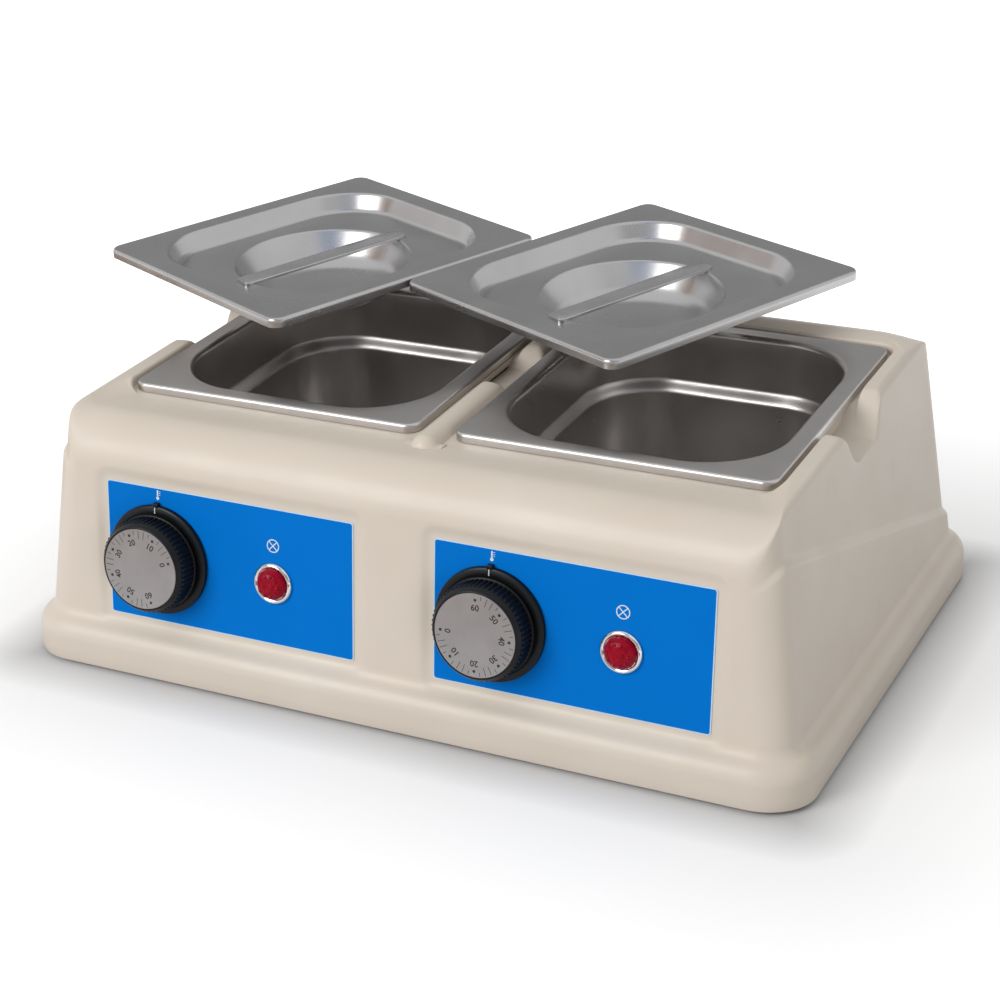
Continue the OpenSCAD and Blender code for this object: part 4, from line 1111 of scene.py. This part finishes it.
for side in (-1, 1):
    name, node, at = sideName[side], nodeSide[side], spotFrame(side, "knob")
    settle(labelPlate(side), "casing", "label_film", "control_label" + node)
    putOn("labelSigns" + name, pictograms(side), "markWhite", "casing", "label_film")
    putOn("dialBezel" + name, bezelRing(side), "knobBlack", "casing", "knob_plastic", "dial_bezel" + node, angle=24)
    f, r = bezel["front"], bezel["r"]
    line = boxOf("indexLine" + name, (-0.2, r - 3.55, f - 0.5), (0.2, r - 0.6, f + 0.05), at)
    putOn(line.name, line, "markWhite", "casing", "knob_plastic")
    body, replaced = "knob" + node, "thermostat_knob" + node
    putOn("thermostatKnob" + name, knobBody(side), "knobBlack", body, "knob_plastic", replaced, angle=28)
    f, r = knob["front"], knob["dialR"]
    disc = lathe("dialDisc" + name, [(0, f - 0.8), (r, f - 0.8), (r, f - 0.15), (r - 0.15, f), (0, f)], 96, at)
    flatMap(disc, at)
    putOn(disc.name, disc, "dialMetal", body, "dial_metal", "dial_disc" + node)
    putOn("dialMarks" + name, dialMarks(side), "dialInk", body, "knob_plastic", angle=0)
    putOn("lampRing" + name, lampBezel(side), "chrome", "casing", "lamp_chrome", "lamp_ring" + node)
    putOn("lampLens" + name, lampLens(side), "lensRed", "casing", "lamp_red", "lamp_lens" + node, angle=8)
print("stage: controls made")

# solids shown as they are, by name without the side
plainNodes = {
    "base_plate": "baseZinc", "base_screws": "zincScrew", "foot_screws": "zincScrew",
    "thermostat_screws": "zincScrew", "foot_front": "rubberBlack", "foot_back": "rubberBlack",
    "thermostat_shaft": "shaftZinc", "thermostat_body": "ivoryBlock", "sensing_bulb": "copperTube",
    "lamp_core": "ivoryBlock", "lamp_nuts": "chrome", "well_liner": "wellAluminium", "heating_mat": "matOrange",
    "terminal_block": "ivoryBlock", "wiring_loom": "nylonBlack", "cable_gland": "nylonBlack",
    "gland_nut": "nylonBlack",
}
for node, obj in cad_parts.items():
    key = node.replace("_left", "").replace("_right", "")
    if key in plainNodes:
        obj.data.materials.clear()
        obj.data.materials.append(finish[plainNodes[key]])
print("stage: plain nodes dressed")

# metres; near and far: how much the seen floor brightens, and over what distance from the foot, so the dim floor
# close to the foot is a painted shadow
stage = {
    "size": 6, "floor": 0.55, "rough": 0.9, "foot": (0.205, 0.142), "near": (0.035, 0.4),
    "far": (0.45, 0.62), "ambient": 0.48,
}


def seenBy(tree, operation):
    path = addNode(tree, "ShaderNodeLightPath")
    seen = mathNode(tree, operation, path["Is Camera Ray"], path["Is Glossy Ray"])
    return mathNode(tree, operation, seen, path["Is Transmission Ray"])


around = ((-1, -1), (1, -1), (1, 1), (-1, 1))


def makeCard(name, corners):
    mesh = bpy.data.meshes.new(name)
    mesh.from_pydata(corners, [], [(0, 1, 2, 3)])
    mat, tree, shader = newMaterial(name)
    mat.cycles.emission_sampling = "NONE"
    mesh.materials.append(mat)
    return linked(name, mesh), tree, shader


def makeFloor():
    half, tone = stage["size"], stage["floor"]
    obj, tree, shader = makeCard("studioFloor", [(half * x, half * y, 0) for x, y in around])
    away, none = addNode(tree, "ShaderNodeTexCoord")["Object"], (0, 0, 0)
    for operation, other in (("ABSOLUTE", none), ("SUBTRACT", (*stage["foot"], 0)), ("MAXIMUM", none)):
        away = addNode(tree, "ShaderNodeVectorMath", {0: away, 1: other}, operation=operation)[0]
    away = addNode(tree, "ShaderNodeVectorMath", {0: away}, operation="LENGTH")["Value"]
    # painted shadow: the floor glows less for camera and glossy rays close to the foot, on top of its real shadow
    near = ranged(tree, away, 0, stage["near"][1], 0, stage["near"][0])
    far = ranged(tree, away, 0, stage["far"][1], stage["near"][0], stage["far"][0])
    glow = mathNode(tree, "MULTIPLY", seenBy(tree, "ADD"), mathNode(tree, "ADD", near, far))
    wires = {"Base Color": (tone, tone, tone, 1), "Roughness": stage["rough"]}
    fill(shader, {**wires, "Emission Color": (1, 1, 1, 1), "Emission Strength": glow})


def makeWorld():
    world = bpy.data.worlds.new("studioWorld")
    bpy.context.scene.world = world
    world.use_nodes = True
    tree = world.node_tree
    level = ranged(tree, seenBy(tree, "MAXIMUM"), stage["ambient"], 1.0)
    fill(tree.nodes["Background"], {"Color": (1, 1, 1, 1), "Strength": level})


def areaLight(name, place, aim, size, watts, glossy=False):
    data = bpy.data.lights.new(name, "AREA")
    data.shape, data.size, data.energy = "DISK", size, watts
    obj = linked(name, data)
    obj.location = place
    obj.rotation_mode = "QUATERNION"
    obj.rotation_quaternion = (Vector(aim) - Vector(place)).to_track_quat("-Z", "Y")
    obj.visible_glossy = glossy


def reflector(name, azimuth, elevation, far, half, tint, level, base=(0, 0, 0)):
    # a soft coloured card that only polished metal sees; azimuth turns from +Y towards +X
    az, el = radians(azimuth), radians(elevation)
    ahead = Vector((sin(az) * cos(el), cos(az) * cos(el), sin(el)))
    across = Vector((cos(az), -sin(az), 0))
    above = across.cross(ahead)
    centre = Vector(base) + ahead * far
    corners = [centre + sx * half[0] * across + sy * half[1] * above for sx, sy in around]
    obj, tree, shader = makeCard(name, [tuple(c) for c in corners])
    tree.nodes.remove(shader)
    glow = addNode(tree, "ShaderNodeEmission", {"Color": (*tint, 1), "Strength": level})
    fill(tree.nodes["Material Output"], {"Surface": glow[0]})
    for ray in ("camera", "diffuse", "shadow", "transmission", "volume_scatter"):
        setattr(obj, "visible_" + ray, False)


makeFloor()
makeWorld()
areaLight("keyLight", (-0.9, -1.8, 1.25), (0, 0, 0.08), 1.3, 30.5, glossy=True)
areaLight("topLight", (0.2, 0.3, 2.0), (0, 0, 0.1), 1.8, 4)
areaLight("backLight", (-0.3, 1.9, 0.8), (0, 0, 0.05), 1.2, 9)
areaLight("sideLight", (1.3, -1.2, 0.16), (0.2, -0.1, 0.02), 0.8, 5.5)
reflector("backCard", -21, 28, 3.2, (2.6, 1.4), (0.88, 0.88, 0.88), 0.45)
reflector("frontCard", 160, 26, 3.6, (3.6, 1.3), (0.9, 0.9, 0.92), 0.42)
reflector("blueCard", 172, 60, 2.2, (0.42, 0.5), (0.42, 0.58, 0.9), 0.85)
reflector("brownCard", -118, 28, 2.4, (0.5, 0.5), (0.5, 0.31, 0.2), 0.75)
reflector("brightCard", 150, 48, 2.0, (0.6, 0.09), (1, 0.99, 0.97), 1.3)
reflector("frontTable", 0, 90, 0.004, (0.7, 0.3), (0.42, 0.27, 0.18), 0.9, (-0.1, -0.62, 0))
reflector("sideTable", 0, 90, 0.004, (0.3, 0.5), (0.4, 0.25, 0.16), 0.9, (-0.72, 0.4, 0))
print("stage: floor, light and background made")
